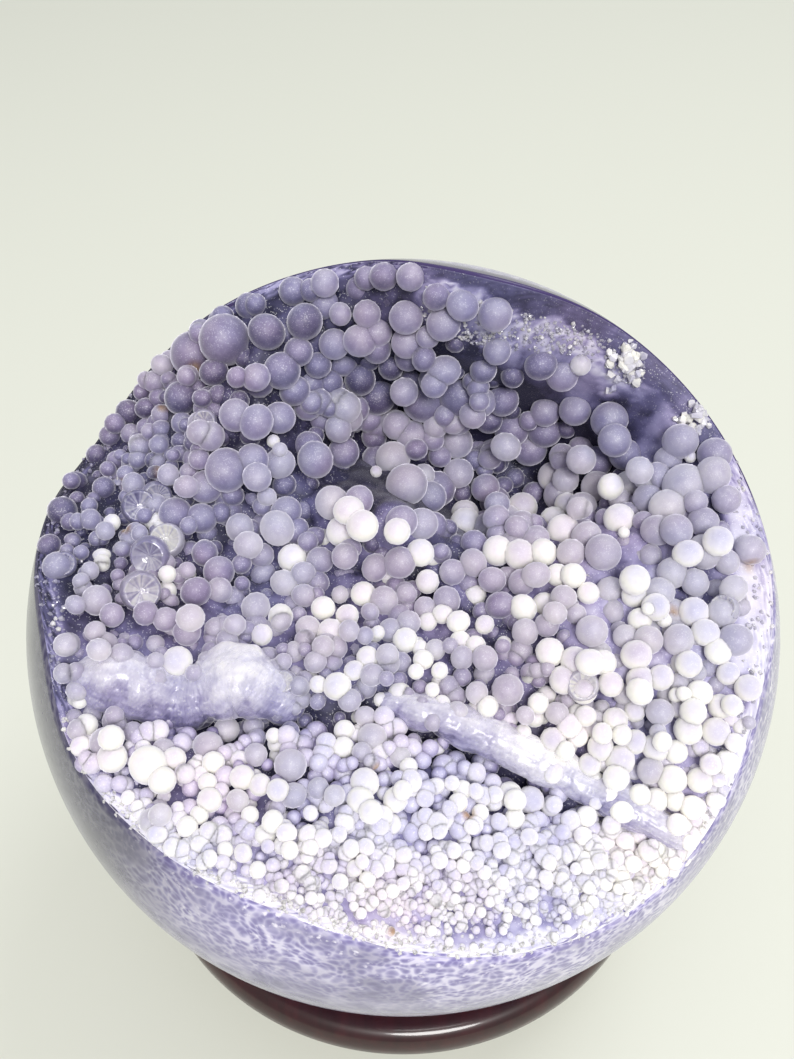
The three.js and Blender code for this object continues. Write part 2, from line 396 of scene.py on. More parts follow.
def skinMaterial():
    mat, tree, shader = newMaterial("polishedStone")
    coords = addNode(tree, "ShaderNodeTexCoord", (-1900, 0))
    wander = addNode(tree, "ShaderNodeTexNoise", (-1700, -200), in_Scale=220.0, in_Detail=2.0,
                     in_Vector=coords.outputs["Object"])
    bent = addNode(tree, "ShaderNodeMix", (-1500, 0), data_type="VECTOR", in_0=0.0035,
                   in_4=coords.outputs["Object"], in_5=wander.outputs["Color"])

    # small cut grapes, each a dark round cell in a paler ground, with white flecks
    small = addNode(tree, "ShaderNodeTexVoronoi", (-1250, 350), feature="SMOOTH_F1", in_Scale=1250.0,
                    in_Smoothness=0.3, in_Vector=bent.outputs[1])
    orbs = addNode(tree, "ShaderNodeTexVoronoi", (-1250, 50), feature="F1", in_Scale=360.0,
                   in_Vector=bent.outputs[1])
    cloud = addNode(tree, "ShaderNodeTexNoise", (-1250, -400), in_Scale=42.0, in_Detail=5.0, in_Roughness=0.6,
                    in_Vector=coords.outputs["Object"])
    haze = addNode(tree, "ShaderNodeTexNoise", (-1250, -650), in_Scale=150.0, in_Detail=4.0,
                   in_Vector=coords.outputs["Object"])
    flecks = addNode(tree, "ShaderNodeTexNoise", (-1250, 850), in_Scale=1100.0, in_Detail=3.0,
                     in_Vector=coords.outputs["Object"])
    smallRamp = colorRamp(tree, skinColors["small"], (-950, 350), small.outputs["Distance"])
    largeRamp = colorRamp(tree, skinColors["large"], (-950, 100), orbs.outputs["Distance"])
    rings = maths(tree, (-1000, -150), "MULTIPLY", orbs.outputs["Distance"], 30.0)
    wave = maths(tree, (-850, -150), "SINE", rings)
    ringFade = mapRange(tree, (-700, -150), wave, -1.0, 1.0, 0.0, 0.16)
    ringed = mixed(tree, (-600, 100), ringFade, largeRamp.outputs["Color"], skinColors["ring"])

    # small cells and flecks near the rim, larger cells further down, and clouds over both
    fromRim = addNode(tree, "ShaderNodeAttribute", (-1250, 600), attribute_name="fromRim")
    sizeMix = mapRange(tree, (-950, 600), fromRim.outputs["Fac"], 7.0, 16.0)
    cells = mixed(tree, (-350, 250), sizeMix, smallRamp.outputs["Color"], ringed)
    cloudRamp = colorRamp(tree, skinColors["cloud"], (-950, -400), cloud)
    cloudShare = mapRange(tree, (-950, -650), haze.outputs["Fac"], 0.42, 0.66, 0.0, 0.75)
    clouded = mixed(tree, (-150, 100), cloudShare, cells, cloudRamp.outputs["Color"])
    fleckShare = mapRange(tree, (-700, 850), flecks.outputs["Fac"], 0.60, 0.70, 0.0, 0.8)
    nearRim = mapRange(tree, (-950, 800), fromRim.outputs["Fac"], 2.0, 12.0, 1.0, 0.1)
    fleckMask = maths(tree, (-500, 800), "MULTIPLY", fleckShare, nearRim)
    flecked = mixed(tree, (0, 300), fleckMask, clouded, skinColors["fleck"])

    # the dark cut band along the upper right rim, and the greyer skin at the left
    dark = addNode(tree, "ShaderNodeAttribute", (-350, 500), attribute_name="darkBand")
    banded = mixed(tree, (180, 150), dark.outputs["Fac"], flecked, skinColors["darkBand"])
    grey = addNode(tree, "ShaderNodeAttribute", (180, 450), attribute_name="greyBand")
    greyed = mixed(tree, (360, 200), grey.outputs["Fac"], banded, skinColors["greyBand"], "MULTIPLY")

    # pinholes left by the polish
    pits = addNode(tree, "ShaderNodeTexVoronoi", (-600, -600), feature="F1", in_Scale=520.0,
                   in_Vector=coords.outputs["Object"])
    hole = mapRange(tree, (-400, -600), pits.outputs["Distance"], 0.0, 0.16)
    bump = addNode(tree, "ShaderNodeBump", (60, -400), in_Strength=0.35, in_Distance=0.0001, in_Height=hole)
    feed(tree, shader, {
        "Base Color": greyed, "Roughness": 0.2, "Normal": bump, "IOR": 1.5,
        "Specular IOR Level": 0.35, "Coat Weight": 0.25, "Coat Roughness": 0.05,
        "Subsurface Weight": 0.15, "Subsurface Radius": (1.0, 0.8, 1.2), "Subsurface Scale": 0.0008,
    })
    return mat


lacquerColors = [(0.3, (0.014, 0.002, 0.0025)), (0.52, (0.025, 0.0025, 0.004)), (0.72, (0.040, 0.004, 0.006))]


def lacquerMaterial():
    mat, tree, shader = newMaterial("redLacquer")
    coords = addNode(tree, "ShaderNodeTexCoord", (-1100, 0))
    stretch = addNode(tree, "ShaderNodeMapping", (-900, 0), in_Scale=(1.0, 0.08, 1.0),
                      in_Vector=coords.outputs["Object"])
    grain = addNode(tree, "ShaderNodeTexNoise", (-700, 0), in_Scale=480.0, in_Detail=5.0, in_Roughness=0.6,
                    in_Vector=stretch.outputs["Vector"])
    ramp = colorRamp(tree, lacquerColors, (-450, 0), grain)
    pores = addNode(tree, "ShaderNodeBump", (-300, -250), in_Strength=0.08, in_Distance=0.0001,
                    in_Height=grain.outputs["Fac"])
    feed(tree, shader, {
        "Base Color": ramp, "Roughness": 0.35, "Normal": pores, "Specular IOR Level": 0.3,
        "Coat Weight": 0.6, "Coat Roughness": 0.08,
    })
    return mat


polishedStone = skinMaterial()
redLacquer = lacquerMaterial()
print("materials ready")

# a band's first and last direction, its width below the rim, its fade down and along, and its wave
ballForm = {"around": 288, "wallRings": 40, "skinRings": 84, "wallDrop": 2.6,
            "skinShare": 0.985, "firstStep": 0.4, "deepest": 140,
            "darkBand": (8, 168, 4.5, 1.35, 8, 0.0), "greyBand": (116, 246, 26, 20, 26, 1.6)}


def makeBall(form):
    # the polished skin, and under the crust the hollow's wall
    theta = np.arange(form["around"]) * 360 / form["around"]
    angle = rimAngle(theta)
    radius = ball["radius"]
    rho = radius * np.sin(np.radians(angle))
    c, s = np.cos(np.radians(theta)), np.sin(np.radians(theta))
    rings, fromRim = [], []
    for share in np.linspace(0.02, 1, form["wallRings"]):
        drop = form["wallDrop"] * (1 - share**6)
        rings.append(onSurface(rho * share * c, rho * share * s, -drop))
        fromRim.append(0 * theta)
    for k in range(form["skinRings"]):
        step = (k + 1) / form["skinRings"]
        down = (180 - angle) * step * form["skinShare"] + form["firstStep"] * (1 - step)
        a = np.radians(angle + down)
        rings.append(place(radius * np.sin(a) * c, radius * np.sin(a) * s, radius * np.cos(a)))
        fromRim.append(radius * np.radians(down))
    middle = onSurface(0.0, 0.0, -form["wallDrop"])
    bottom = place(0.0, 0.0, -radius)
    points = np.concatenate([*rings, middle[None], bottom[None]])
    count = len(rings) * form["around"]
    faces = polarFaces(len(rings), form["around"], count, count + 1)
    obj = makeObject("stoneBall", points, [f[::-1] for f in faces])
    depth = np.concatenate([*fromRim, [0, form["deepest"]]])
    addValues(obj.data, "fromRim", depth)
    for name in ("darkBand", "greyBand"):
        first, last, width, fadeDown, fadeAlong, wave = form[name]
        inArc = smooth((theta - first) / fadeAlong) * smooth((last - theta) / fadeAlong)
        edge = width + wave * (np.sin(theta * 0.12) + np.sin(theta * 0.31 + 1))
        inArc, edge = (np.concatenate([np.tile(each, len(rings)), [0, 0]]) for each in (inArc, edge))
        band = inArc * smooth((edge - depth) / fadeDown)
        addValues(obj.data, name, band)
    obj.data.materials.append(polishedStone)
    return obj


stoneBall = makeBall(ballForm)
dress(stoneBall, "ball")
print("ball ready")

# places where iron has stained the growth: u, v, reach
rustSpots = [
    (-24.8, 26.5, 0.8), (-28.9, 23.1, 0.6), (-28.6, 14.3, 0.6), (-32.7, 13.2, 0.6), (-31.1, 6.4, 0.5),
    (-31.8, 2.7, 0.6), (37.3, 1.2, 0.6), (28.6, -4.1, 0.5), (24.9, -24.1, 0.5), (17.7, -26.7, 0.5),
    (6.5, -24.7, 0.5), (-2.7, -20.2, 0.4), (-0.7, -35.2, 0.5), (17.5, -8.6, 0.5),
]


def addStain(mesh):
    points = meshPoints(mesh)
    stain = np.zeros(len(points))
    for u, v, reach in rustSpots:
        far = np.linalg.norm(points - onSurface(u, v, 0.6), axis=1)
        stain = np.maximum(stain, 0.85 * smooth(1.4 - far / (1.3 * reach)))
    addValues(mesh, "stain", stain)


def crustPiece(obj, tones, material):
    addValues(obj.data, "tone", tones)
    addStain(obj.data)
    obj.data.materials.append(material)
    dress(obj, "grape_crust")


# from the front edge to the back, by v: a grape's usual radius, its tone and the share of white ones
growth = {
    "size": [(-38, 0.36), (-35, 0.46), (-31, 0.68), (-27, 0.92), (-22, 1.02), (-15, 1.06), (-6, 1.25),
             (3, 1.5), (14, 1.75), (30, 1.75)],
    # the tone falls from the front edge to the back: partly the growth's own colour, partly painted light at
    # the front, which lies nearer the lamps, and painted shade deeper in
    "tone": [(-38, 0.60), (-32, 0.54), (-26, 0.51), (-20, 0.53), (-10, 0.53), (0, 0.46), (8, 0.36),
             (14, 0.31), (30, 0.37)],
    "white": [(-38, 0.44), (-28, 0.30), (-20, 0.24), (-10, 0.14), (2, 0.10), (8, 0.03), (14, 0.0)],
}


def alongRows(x, rows):
    return np.interp(x, *zip(*rows))


def sizeAt(u, v):
    # smaller at the left, a little larger at the right
    size = alongRows(v, growth["size"])
    size = size * (1 - 0.3 * smooth((-20 - u) / 6) * smooth((v + 8) / 6))
    return size * (1 + 0.12 * smooth((u - 12) / 8) * smooth((4 - v) / 6))


def recessAt(u, v):
    # 1 in the two narrow recesses below the ridges
    deepest = 0 * u
    for oval in pockets[2:4]:
        deepest = np.maximum(deepest, np.exp(-(ovalReach(u, v, oval, 0.9, 0.8) ** 2)))
    return deepest


def toneAt(u, v):
    # dark violet 0 to white 1, paler at the right; painted shade darkens the deep pocket and the recesses
    # below the ridges
    tone = alongRows(v, growth["tone"])
    tone = tone + 0.20 * smooth((u - 14) / 6) * smooth((16 - v) / 8)
    pocketShade = smooth(1.6 - np.hypot((u - 8) / 15, (v - 17) / 6))
    return tone - 0.34 * pocketShade - 0.26 * recessAt(u, v)


def bareAt(u, v):
    # 1 where the wall under the upper right rim, and the outermost edge, carry no grapes
    share = rimShare(u, v)[0]
    direction = np.mod(np.degrees(np.arctan2(v, u)), 360)
    wallFrom = alongRows(direction, [(52, 0.76), (74, 0.88)])
    wall = smooth((share - wallFrom) / 0.06) * smooth((direction - 14) / 8) * smooth((90 - direction) / 8)
    hanging = smooth((direction - 84) / 8) * smooth((150 - direction) / 8)
    front = smooth((-8 - v) / 4)
    right = smooth((30 - np.minimum(direction, 360 - direction)) / 8)
    share = share + 0.045 * right
    return np.maximum(wall, smooth((share - 0.94) / 0.03) * (1 - hanging) * (1 - front))


def whiteShareAt(u, v):
    # white ones stand in drifts, and fewer in the recesses below the ridges, keeping the painted shade there
    # dark
    drifts = np.sin(u * 0.55 + 2) * np.sin(v * 0.8 + u * 0.2) > 0
    return alongRows(v, growth["white"]) * (0.35 + 1.3 * drifts) * (1 - recessAt(u, v))


# the crust's faces above and below the hollow's wall, and the widths of its bumps
bedForm = {"around": 360, "rings": 110, "top": -1.2, "bottom": -2.2, "seam": 0.25,
           "coarse": 3.4, "middle": 1.9, "fine": 1.0, "mound": 5.4}


def bumpField(u, v, size, seed):
    # rounded bumps about `size` across, by the distance to the nearest of many seeded points
    local = np.random.default_rng(seed)
    seeds = local.uniform(-46, 46, (int(92 * 92 / size**2), 2))
    tree = KDTree(len(seeds))
    for i, p in enumerate(seeds):
        tree.insert((p[0], p[1], 0), i)
    tree.balance()
    far = np.array([tree.find((a, b, 0))[2] for a, b in zip(np.ravel(u), np.ravel(v))])
    return np.sqrt(np.maximum(1 - (far / (0.75 * size)) ** 2, 0)).reshape(np.shape(u))


def makeBed(form):
    # the closed crust that the grapes grow from
    theta = np.arange(form["around"]) * 360 / form["around"]
    rho = ball["radius"] * np.sin(np.radians(rimAngle(theta))) * 0.997
    c, s = np.cos(np.radians(theta)), np.sin(np.radians(theta))
    shares = 1 - (1 - np.linspace(0.015, 1, form["rings"])) ** 1.25
    u = np.outer(shares, rho * c)
    v = np.outer(shares, rho * s)
    size = sizeAt(u, v)
    large = smooth((size - 0.9) / 0.5)
    small = smooth((0.9 - size) / 0.4)
    bumps = bumpField(u, v, form["coarse"], seed=5) * (0.2 + 0.8 * large)
    bumps = bumps + bumpField(u, v, form["middle"], seed=6) * 0.55 * (1 - small)
    bumps = bumps + bumpField(u, v, form["fine"], seed=7) * (0.15 + 0.45 * small)
    mound = smooth(1.5 - np.hypot((u + 1.5) / 9, (v - 12) / 7))
    bumps = bumps * (1 - 0.5 * mound) + 1.5 * mound * (bumpField(u, v, form["mound"], seed=9) - 0.35)

    # near the upper right rim a dark strip and a torn band, elsewhere a thin pale crust
    near = shares[:, None] + 0.008 * np.sin(theta * 0.31) + 0.006 * np.sin(theta * 0.83)
    arc = smooth((theta - 18) / 8) * smooth((90 - theta) / 8)
    stripFrom = alongRows(theta, [(46, 0.932), (84, 0.972)])
    strip = arc * smooth((near - stripFrom) / 0.012)
    torn = smooth((theta - 36) / 8) * smooth((90 - theta) / 8) * (1 - strip)
    torn = torn * smooth((near - stripFrom + 0.055 + 0.018 * np.sin(theta * 0.9)) / 0.012)
    crust = smooth((near - 0.955) / 0.02) * (1 - arc)
    chance = np.random.default_rng(8).uniform(-1, 1, u.shape)
    topLift = form["top"] * (1 - shares[:, None] ** 8) + (bumps - 0.5) * (1 - shares[:, None] ** 10)
    topLift = topLift * (1 - 0.7 * np.maximum(strip, torn)) + 0.30 * chance * torn + 0.14 * chance * crust
    topLift[-1] = 0
    top = onSurface(u, v, topLift)
    bottomLift = form["bottom"] * (1 - shares[:, None] ** 8) - form["seam"]
    bottom = onSurface(u, v, bottomLift)
    rings = np.concatenate([top, bottom[::-1]])
    count = len(rings) * form["around"]
    ends = [onSurface(0.0, 0.0, form["top"])[None], onSurface(0.0, 0.0, form["bottom"] - form["seam"])[None]]
    points = np.concatenate([rings.reshape(-1, 3), *ends])
    faces = polarFaces(len(rings), form["around"], count, count + 1)
    obj = makeObject("grapeBed", points, [f[::-1] for f in faces])

    # darker than the grapes on it, painted shade in the gaps between them; paler on the bumps and darker
    # between them, painted light and shade; paler where it lies bare
    tone = toneAt(u, v) - 0.50 + 0.30 * smooth((-22 - v) / 6) + 0.22 * (bumps - 0.5)
    tone = np.clip(tone + 0.34 * bareAt(u, v) + 0.18 * mound, 0.0, 0.8)
    pale = alongRows(v, [(-26, 0.74), (-14, 0.58), (4, 0.40), (20, 0.22)]) + 0.14 * smooth((u - 20) / 8)
    pale = pale - 0.36 * smooth((-20 - u) / 8) * smooth((v + 24) / 8)
    tone = tone + (0.47 + 0.17 * chance[::-1] - tone) * torn + (pale + 0.22 * chance[::-1] - tone) * crust
    tone = tone * (1 - strip) + (0.14 + 0.04 * chance) * strip
    crustPiece(obj, np.concatenate([tone.ravel(), tone[::-1].ravel(), [0.3, 0.3]]), bedStone)
    return u, v


bedU, bedV = makeBed(bedForm)
print("bed ready")

# grapes listed one by one, the ones that stand out in the hollow: u, v, radius, tone
chosenGrapes = [
    (0.9, 32.7, 1.7, 0.5), (-2.1, 33.4, 1.6, 0.4), (-9, 34.4, 1.7, 0.5), (-12.7, 33.7, 1.7, 0.4),
    (-10.7, 33.7, 1.3, 0.4), (0.4, 29.4, 1.9, 0.5), (0.5, 28, 1.8, 0.5), (4.6, 28.1, 1.9, 0.5),
    (2.9, 27.8, 1.4, 0.5), (3.7, 29.7, 1.5, 0.4), (6.6, 28.7, 1.8, 0.5), (-4.1, 30.6, 1.6, 0.5),
    (-7.2, 30.9, 1.4, 0.5), (-11.3, 30.1, 2.1, 0.3), (-8, 28.3, 1.8, 0.5), (-5, 28.7, 1.9, 0.5),
    (-3.1, 28.1, 1.8, 0.4), (-15.7, 28.9, 2.1, 0.3), (-20.9, 29, 3, 0.4), (-26.2, 30.4, 3, 0.4),
    (-22, 25, 1.7, 0.3), (-14, 24.9, 2.1, 0.4), (-12.1, 27.1, 1.8, 0.4), (-10, 26.3, 1.7, 0.4),
    (-8.7, 25.1, 1.5, 0.4), (-12.7, 23.3, 1.8, 0.4), (-1.4, 26.6, 1.6, 0.2), (-3.1, 24.4, 2.3, 0.2),
    (-5.2, 25.8, 2, 0.1), (2.7, 23.2, 2.8, 0.4), (7.1, 23.2, 2.5, 0.4), (6.9, 18.3, 2.2, 0.6),
    (-1.2, 16.6, 2.2, 0.7), (0.5, 12.7, 2.6, 0.6), (2.6, 14.6, 1.5, 0.7), (-3.2, 14.6, 0.7, 0.8),
    (3.4, 12.1, 2, 0.5), (-19.1, 19.2, 1.8, 0.5), (-16.8, 18.7, 2, 0.5), (-14.4, 19.9, 2, 0.5),
    (-15, 17, 0.8, 0.9), (-14.3, 16.2, 0.9, 0.7), (-17.2, 14.6, 1.8, 0.5), (-14.3, 14.6, 1.8, 0.6),
    (-10.5, 16.2, 2.2, 0.5), (-11.3, 17.7, 1.8, 0.4), (-20.3, 13.6, 2.6, 0.5), (-22.8, 12.1, 2, 0.5),
    (-26.2, 9, 2, 0.5), (-23.2, 8.5, 1.8, 0.5), (-15.7, 10.9, 1.1, 0.7), (-16.3, 9.9, 1.1, 0.5),
    (-13.5, 9.3, 1.8, 0.5), (-14.5, 7.5, 2, 0.7), (-8.1, 9.9, 2, 0.7), (-4.9, 9.5, 1.6, 0.5),
    (-6.1, 8.5, 1.7, 0.9), (-6.9, 6.5, 1.8, 0.9), (-4.5, 6.6, 1.8, 0.9), (-0.6, 5.9, 1.5, 0.9),
    (2.2, 7.2, 1.8, 0.6), (-0.1, 6.9, 1.9, 0.5), (2, 4, 1.6, 0.9), (2.8, 0.8, 1.4, 0.8),
    (-12.6, 3.9, 1.6, 0.9), (-13.3, 0.7, 1.6, 0.7), (-17.7, 5.4, 1.6, 0.7), (-16.1, 4.2, 1.5, 0.5),
    (-26.3, 23.2, 2, 0.3), (-9.4, 3.6, 1.6, 0.5), (-16.1, -2.6, 1.7, 0.6), (-15.1, -6, 1.2, 0.8),
    (-20.6, 1.8, 1.8, 0.4), (-22.6, -1.1, 1.7, 0.4), (-22.4, 4.1, 1.6, 0.4), (-32.2, -3.1, 1.6, 0.6),
    (-30.3, -4.8, 1.3, 0.5), (-27.1, -4.3, 1.4, 0.5), (-25, -4.9, 1.4, 0.5), (-22.6, -4.5, 1.5, 0.7),
    (-22.7, -6.2, 1.5, 0.5), (-23.3, -9.5, 1.6, 0.8), (-25.5, -11.6, 1.7, 0.6), (-29.5, -12.8, 1.1, 0.8),
    (-34.9, 24.9, 1.7, 0.3), (-31.7, 24, 1.3, 0.3), (-36.7, 21.7, 1.4, 0.4), (-36.2, 23.3, 1.3, 0.4),
    (-39, 19.7, 1.3, 0.3), (-35.1, 17.6, 1.1, 0.4), (-39.4, 14.5, 1.3, 0.3), (-35.5, 13.1, 1.4, 0.4),
    (-39.6, 9.4, 1.7, 0.3), (-40.4, 14.9, 1.1, 0.4), (-37.4, 1.2, 1.6, 0.5), (-39.6, 4.2, 1.3, 0.3),
    (10.2, 27.9, 1.9, 0.5), (10.8, 26.2, 1.6, 0.5), (9.5, 25.2, 1.6, 0.4), (13, 24.6, 1.4, 0.3),
    (12.3, 22.8, 2, 0.4), (10.8, 20.9, 1.8, 0.3), (13.9, 20, 2.2, 0.4), (16.4, 17.8, 2.1, 0.4),
    (17.7, 21.8, 1.9, 0.4), (18.7, 24.5, 1.9, 0.4), (16, 25.3, 1.8, 0.3), (20.5, 25.1, 1.2, 0.7),
    (21, 21.7, 2, 0.4), (18, 19.9, 2.1, 0.3), (24.8, 20.2, 2.3, 0.4), (25.6, 18.1, 2, 0.4),
    (26.7, 16.4, 2, 0.3), (24, 16.3, 1.9, 0.3), (31.8, 16.4, 2, 0.5), (30.6, 14.6, 1.6, 0.5),
    (32.7, 14.5, 0.7, 0.8), (31.7, 11.2, 2.4, 0.6), (34.8, 12, 2.1, 0.6), (35.9, 9, 1.6, 0.5),
    (36.1, 14.9, 1.9, 0.4), (29.7, 8.6, 2, 0.7), (28.1, 10.2, 1.8, 0.5), (28.1, 5.6, 1.8, 0.5),
    (30.1, 5.5, 1.8, 0.5), (33.1, 6.4, 1.7, 0.5), (34.4, 4.1, 1.7, 0.7), (32.8, 2.9, 1.9, 0.6),
    (35.1, 1.7, 1.4, 0.6), (37.8, 3.1, 1.7, 0.5), (30.4, 4.3, 0.9, 0.8), (25.1, 13, 1.6, 0.9),
    (23.8, 13.3, 1.9, 0.6), (26.7, 12.8, 1.7, 0.7), (25.6, 10.8, 1.4, 0.6), (24.6, 7.7, 1.8, 0.8),
    (24.6, 5.6, 0.7, 0.9), (19.1, 15.1, 1.8, 0.7), (20.6, 14.7, 1.7, 0.6), (19.6, 13, 1.9, 0.5),
    (20.3, 11.5, 1.6, 0.8), (21.8, 10.9, 1.7, 0.6), (10.7, 13.9, 1.8, 0.5), (11.9, 12.5, 1.9, 0.4),
    (7.9, 11, 1.8, 0.9), (7.8, 9.4, 2, 0.9), (10.4, 8.8, 1.8, 0.6), (13.1, 10.2, 1.9, 0.8),
    (15.2, 11.7, 1.9, 0.8), (18.2, 9.4, 1.7, 0.9), (18.6, 7, 1.9, 0.8), (15.8, 3.9, 1.6, 0.9),
    (10.8, 4.5, 1.7, 0.9), (13.2, 3.8, 1.7, 0.8), (8, 3, 1.6, 0.6), (18.7, 3.5, 1.6, 0.6),
    (22.1, 3.3, 2.1, 0.5), (14.8, 1.1, 1.5, 0.6), (17.1, 0.9, 1.3, 0.9), (18.7, 0.7, 1.4, 0.9),
    (20.1, -1.5, 1.2, 0.8), (5.6, 1.9, 1.5, 0.5), (10, 0.8, 1.5, 0.5), (13.2, 0.3, 1.6, 0.5),
    (13.1, -2.9, 1.5, 0.9), (10.7, -2.4, 1.6, 0.4), (15.4, -5.1, 1.3, 0.5), (16.4, -3.7, 1.3, 0.6),
    (20, -6, 1.7, 0.6), (13.1, -5.8, 1.4, 0.6), (4.9, -1.5, 1.6, 0.5), (-4.4, -0.6, 1.5, 0.9),
    (-2.1, -1.4, 1.6, 0.6), (-7, -0.7, 1, 0.7), (-8.8, -2.4, 1.4, 0.9), (-6.1, -3.3, 1.3, 0.8),
    (-7.8, -5.4, 1.5, 0.8), (-10.3, -4.9, 1.4, 0.7), (-0.3, 2.9, 1.8, 0.5), (-3.1, 2.4, 1.6, 0.5),
    (2.5, -2.4, 1.3, 0.6), (4.4, -3.2, 1.1, 0.9), (2.8, -4.1, 1, 0.9), (8.9, -4.7, 1.1, 0.8),
    (6.2, -6.5, 1.1, 0.9), (7.8, -7.2, 1.1, 0.9), (0.3, -6.4, 1.4, 0.9), (-1.4, -5.1, 1.3, 0.6),
    (3.5, -7.6, 1.2, 0.7), (2.2, -8.8, 1.1, 1), (1.4, -10.2, 0.9, 1), (3.9, -10.1, 0.9, 0.9),
    (3.1, -12.2, 0.8, 0.9), (4.1, -13.5, 0.8, 0.9), (7.7, -12.5, 1.2, 0.7), (8.8, -13.9, 1.1, 0.9),
    (10.9, -12.2, 1.7, 0.6), (14, -13.6, 1.2, 0.9), (6.3, -8.6, 1.3, 0.6), (8.7, -8.7, 1.4, 0.6),
    (-3.7, -8.6, 1.3, 0.9), (-5.1, -10.1, 1.1, 0.8), (-3.2, -10.6, 1.2, 0.6), (-6.8, -11.8, 1.5, 0.9),
    (-8.8, -11.6, 0.9, 0.9), (-5.5, -13.2, 1.2, 0.6), (-9.2, -9.1, 1.2, 0.6), (15.5, -8.2, 1.5, 0.8),
    (18, -9.3, 1.6, 0.7), (19.5, -9.4, 1.5, 0.8), (16.7, -11.2, 1.5, 0.7), (18.7, -12.3, 1.5, 0.7),
    (21.5, -11.7, 1.3, 0.7), (25.1, -0.2, 1.6, 0.8), (24.9, -1.9, 1.4, 0.8), (26.9, -3.4, 1.5, 0.7),
    (29.1, 0.5, 1.7, 0.6), (31.4, -0.6, 1.5, 0.6), (27.5, -1.7, 1.7, 0.6), (30.8, -4, 1.7, 0.7),
    (33.8, -4.1, 1.6, 0.6), (25.1, -4.8, 1.3, 0.9), (26.1, -3.6, 0.7, 0.9), (27.6, -4.9, 0.8, 1),
    (32.7, -8.4, 1.4, 0.9), (34.6, -7.2, 1.8, 0.5), (28.8, -7.1, 1.7, 0.6), (25.7, -7.1, 1.6, 0.6),
    (24.3, -8.7, 1.6, 0.7), (24.5, -11.3, 1.5, 0.7), (26.6, -11.1, 1.4, 0.7), (24.4, -12.5, 1.4, 0.9),
    (28, -12.9, 0.8, 0.9), (28.8, -12.8, 0.8, 0.9), (30.4, -12.7, 1.3, 0.9), (35.2, -12.3, 1.4, 0.7),
    (29.6, -14.6, 1.4, 0.8), (29, -16.4, 1.5, 0.8), (31.7, -16.6, 1.4, 0.7), (26.3, -14.6, 1.5, 0.6),
    (21.8, -15.3, 1.3, 0.8), (22.4, -16.8, 1.1, 0.8), (20.2, -18, 1.4, 0.7), (23.7, -17.5, 1.3, 0.7),
    (22.1, -19.3, 1.5, 0.7), (25.7, -18.1, 1.4, 0.7), (26.4, -17.5, 1, 0.9), (27.7, -18.5, 1.2, 0.9),
    (25.1, -20.3, 1.4, 0.6), (27.2, -21.2, 1.5, 0.8), (29.9, -21.3, 1.4, 0.8), (21.7, -21, 1.3, 0.8),
    (19.1, -19.7, 1.2, 0.7), (19.6, -21.2, 1, 0.9), (16.6, -18.3, 1, 0.9), (24, -22.7, 1.2, 0.9),
    (25.5, -23.2, 1.3, 0.8), (27.4, -23.2, 1.1, 0.9), (15.4, -17.3, 1.3, 0.7), (12.4, -16.5, 0.9, 0.9),
    (-29.1, -17.5, 1.4, 0.9), (-28.6, -19.5, 1.5, 0.8), (-29.6, -17.9, 1.5, 0.6), (-25, -20.2, 1.8, 0.9),
    (-23.4, -21.7, 1.4, 0.9), (-22.6, -19.5, 1.2, 0.8), (-23.9, -18.6, 1.2, 0.6), (-18.3, -16.1, 1.4, 0.7),
    (-19.7, -18, 1.5, 0.6), (-18.7, -19.9, 1.1, 1), (-19, -21.9, 1, 1), (-18.6, -23.6, 1.2, 0.8),
    (-15.7, -21.4, 1.2, 0.8), (-14.7, -19, 1.2, 0.6), (-13.9, -22.1, 1.1, 0.8), (-11.1, -20.1, 1.6, 0.6),
    (-10.6, -23.1, 1.3, 0.6), (-12.1, -22.6, 1.1, 0.8), (-6.7, -23.1, 1, 0.7), (-6.6, -23.1, 1, 0.7),
    (-8.2, -22.4, 1.1, 0.6), (-15.9, -23.6, 1.1, 0.7), (-23.1, -25, 1.1, 0.7), (-24, -25.5, 1.1, 0.7),
    (-19.4, -25, 0.9, 1), (-20.4, -26.1, 1, 0.9), (-14.6, -25, 0.9, 0.9), (-12.4, -25.6, 1.1, 1),
    (-13, -26.8, 1, 1), (-16.6, -28.2, 0.8, 1), (-14.9, -28.5, 0.9, 0.8), (-10.6, -28.2, 0.9, 0.9),
    (-11.3, -27.8, 0.9, 0.9), (-3.7, -21.8, 1.4, 0.8), (-4.1, -23.5, 1.3, 0.9), (-3.1, -24.6, 1.2, 0.9),
    (-0.7, -23.4, 1.3, 0.9), (0, -22.5, 1, 1), (0.6, -20.1, 0.9, 0.9), (-0.2, -19.1, 1.1, 0.7),
    (-6, -16.3, 1.1, 0.9), (-6, -18.2, 1.1, 1), (-3.1, -17.1, 1.5, 0.7), (-4.1, -18.7, 1.1, 0.6),
    (-3.9, -14.8, 1.1, 0.7), (6, -22.3, 1, 0.9), (5.5, -23.6, 1, 0.9), (7.7, -24.5, 0.9, 0.9),
    (10.9, -22.6, 1.3, 0.9), (11.4, -23.2, 1.1, 0.9), (13, -23.1, 1.4, 0.7), (11.2, -25, 1, 0.9),
    (-4.5, -29.8, 0.8, 0.8), (-3.8, -29.2, 0.7, 0.8), (-3.3, -30.8, 0.8, 0.9), (-5.8, -31, 0.8, 0.8),
    (-13.4, -30, 0.8, 0.9),
]
largeFrom = 1.75  # grapes of a larger radius get the finer shape
rest = {"lift": 0.35, "apart": 0.70, "mostLift": 5, "step": 0.1}  # lift and distance as shares of the radii
eye = np.array([0, -math.cos(math.radians(view["elevation"])), math.sin(math.radians(view["elevation"]))])
eye = eye * view["distance"] + np.array([0, 0, ball["centreZ"]])


def insideBall(points, radii):
    # draws each centre in until its grape stays within the ball
    centre = np.array([0, 0, ball["centreZ"]])
    far = np.linalg.norm(points - centre, axis=-1)
    room = ball["radius"] + ball["proud"] - radii
    return centre + (points - centre) * np.minimum(1, room / far)[..., None]


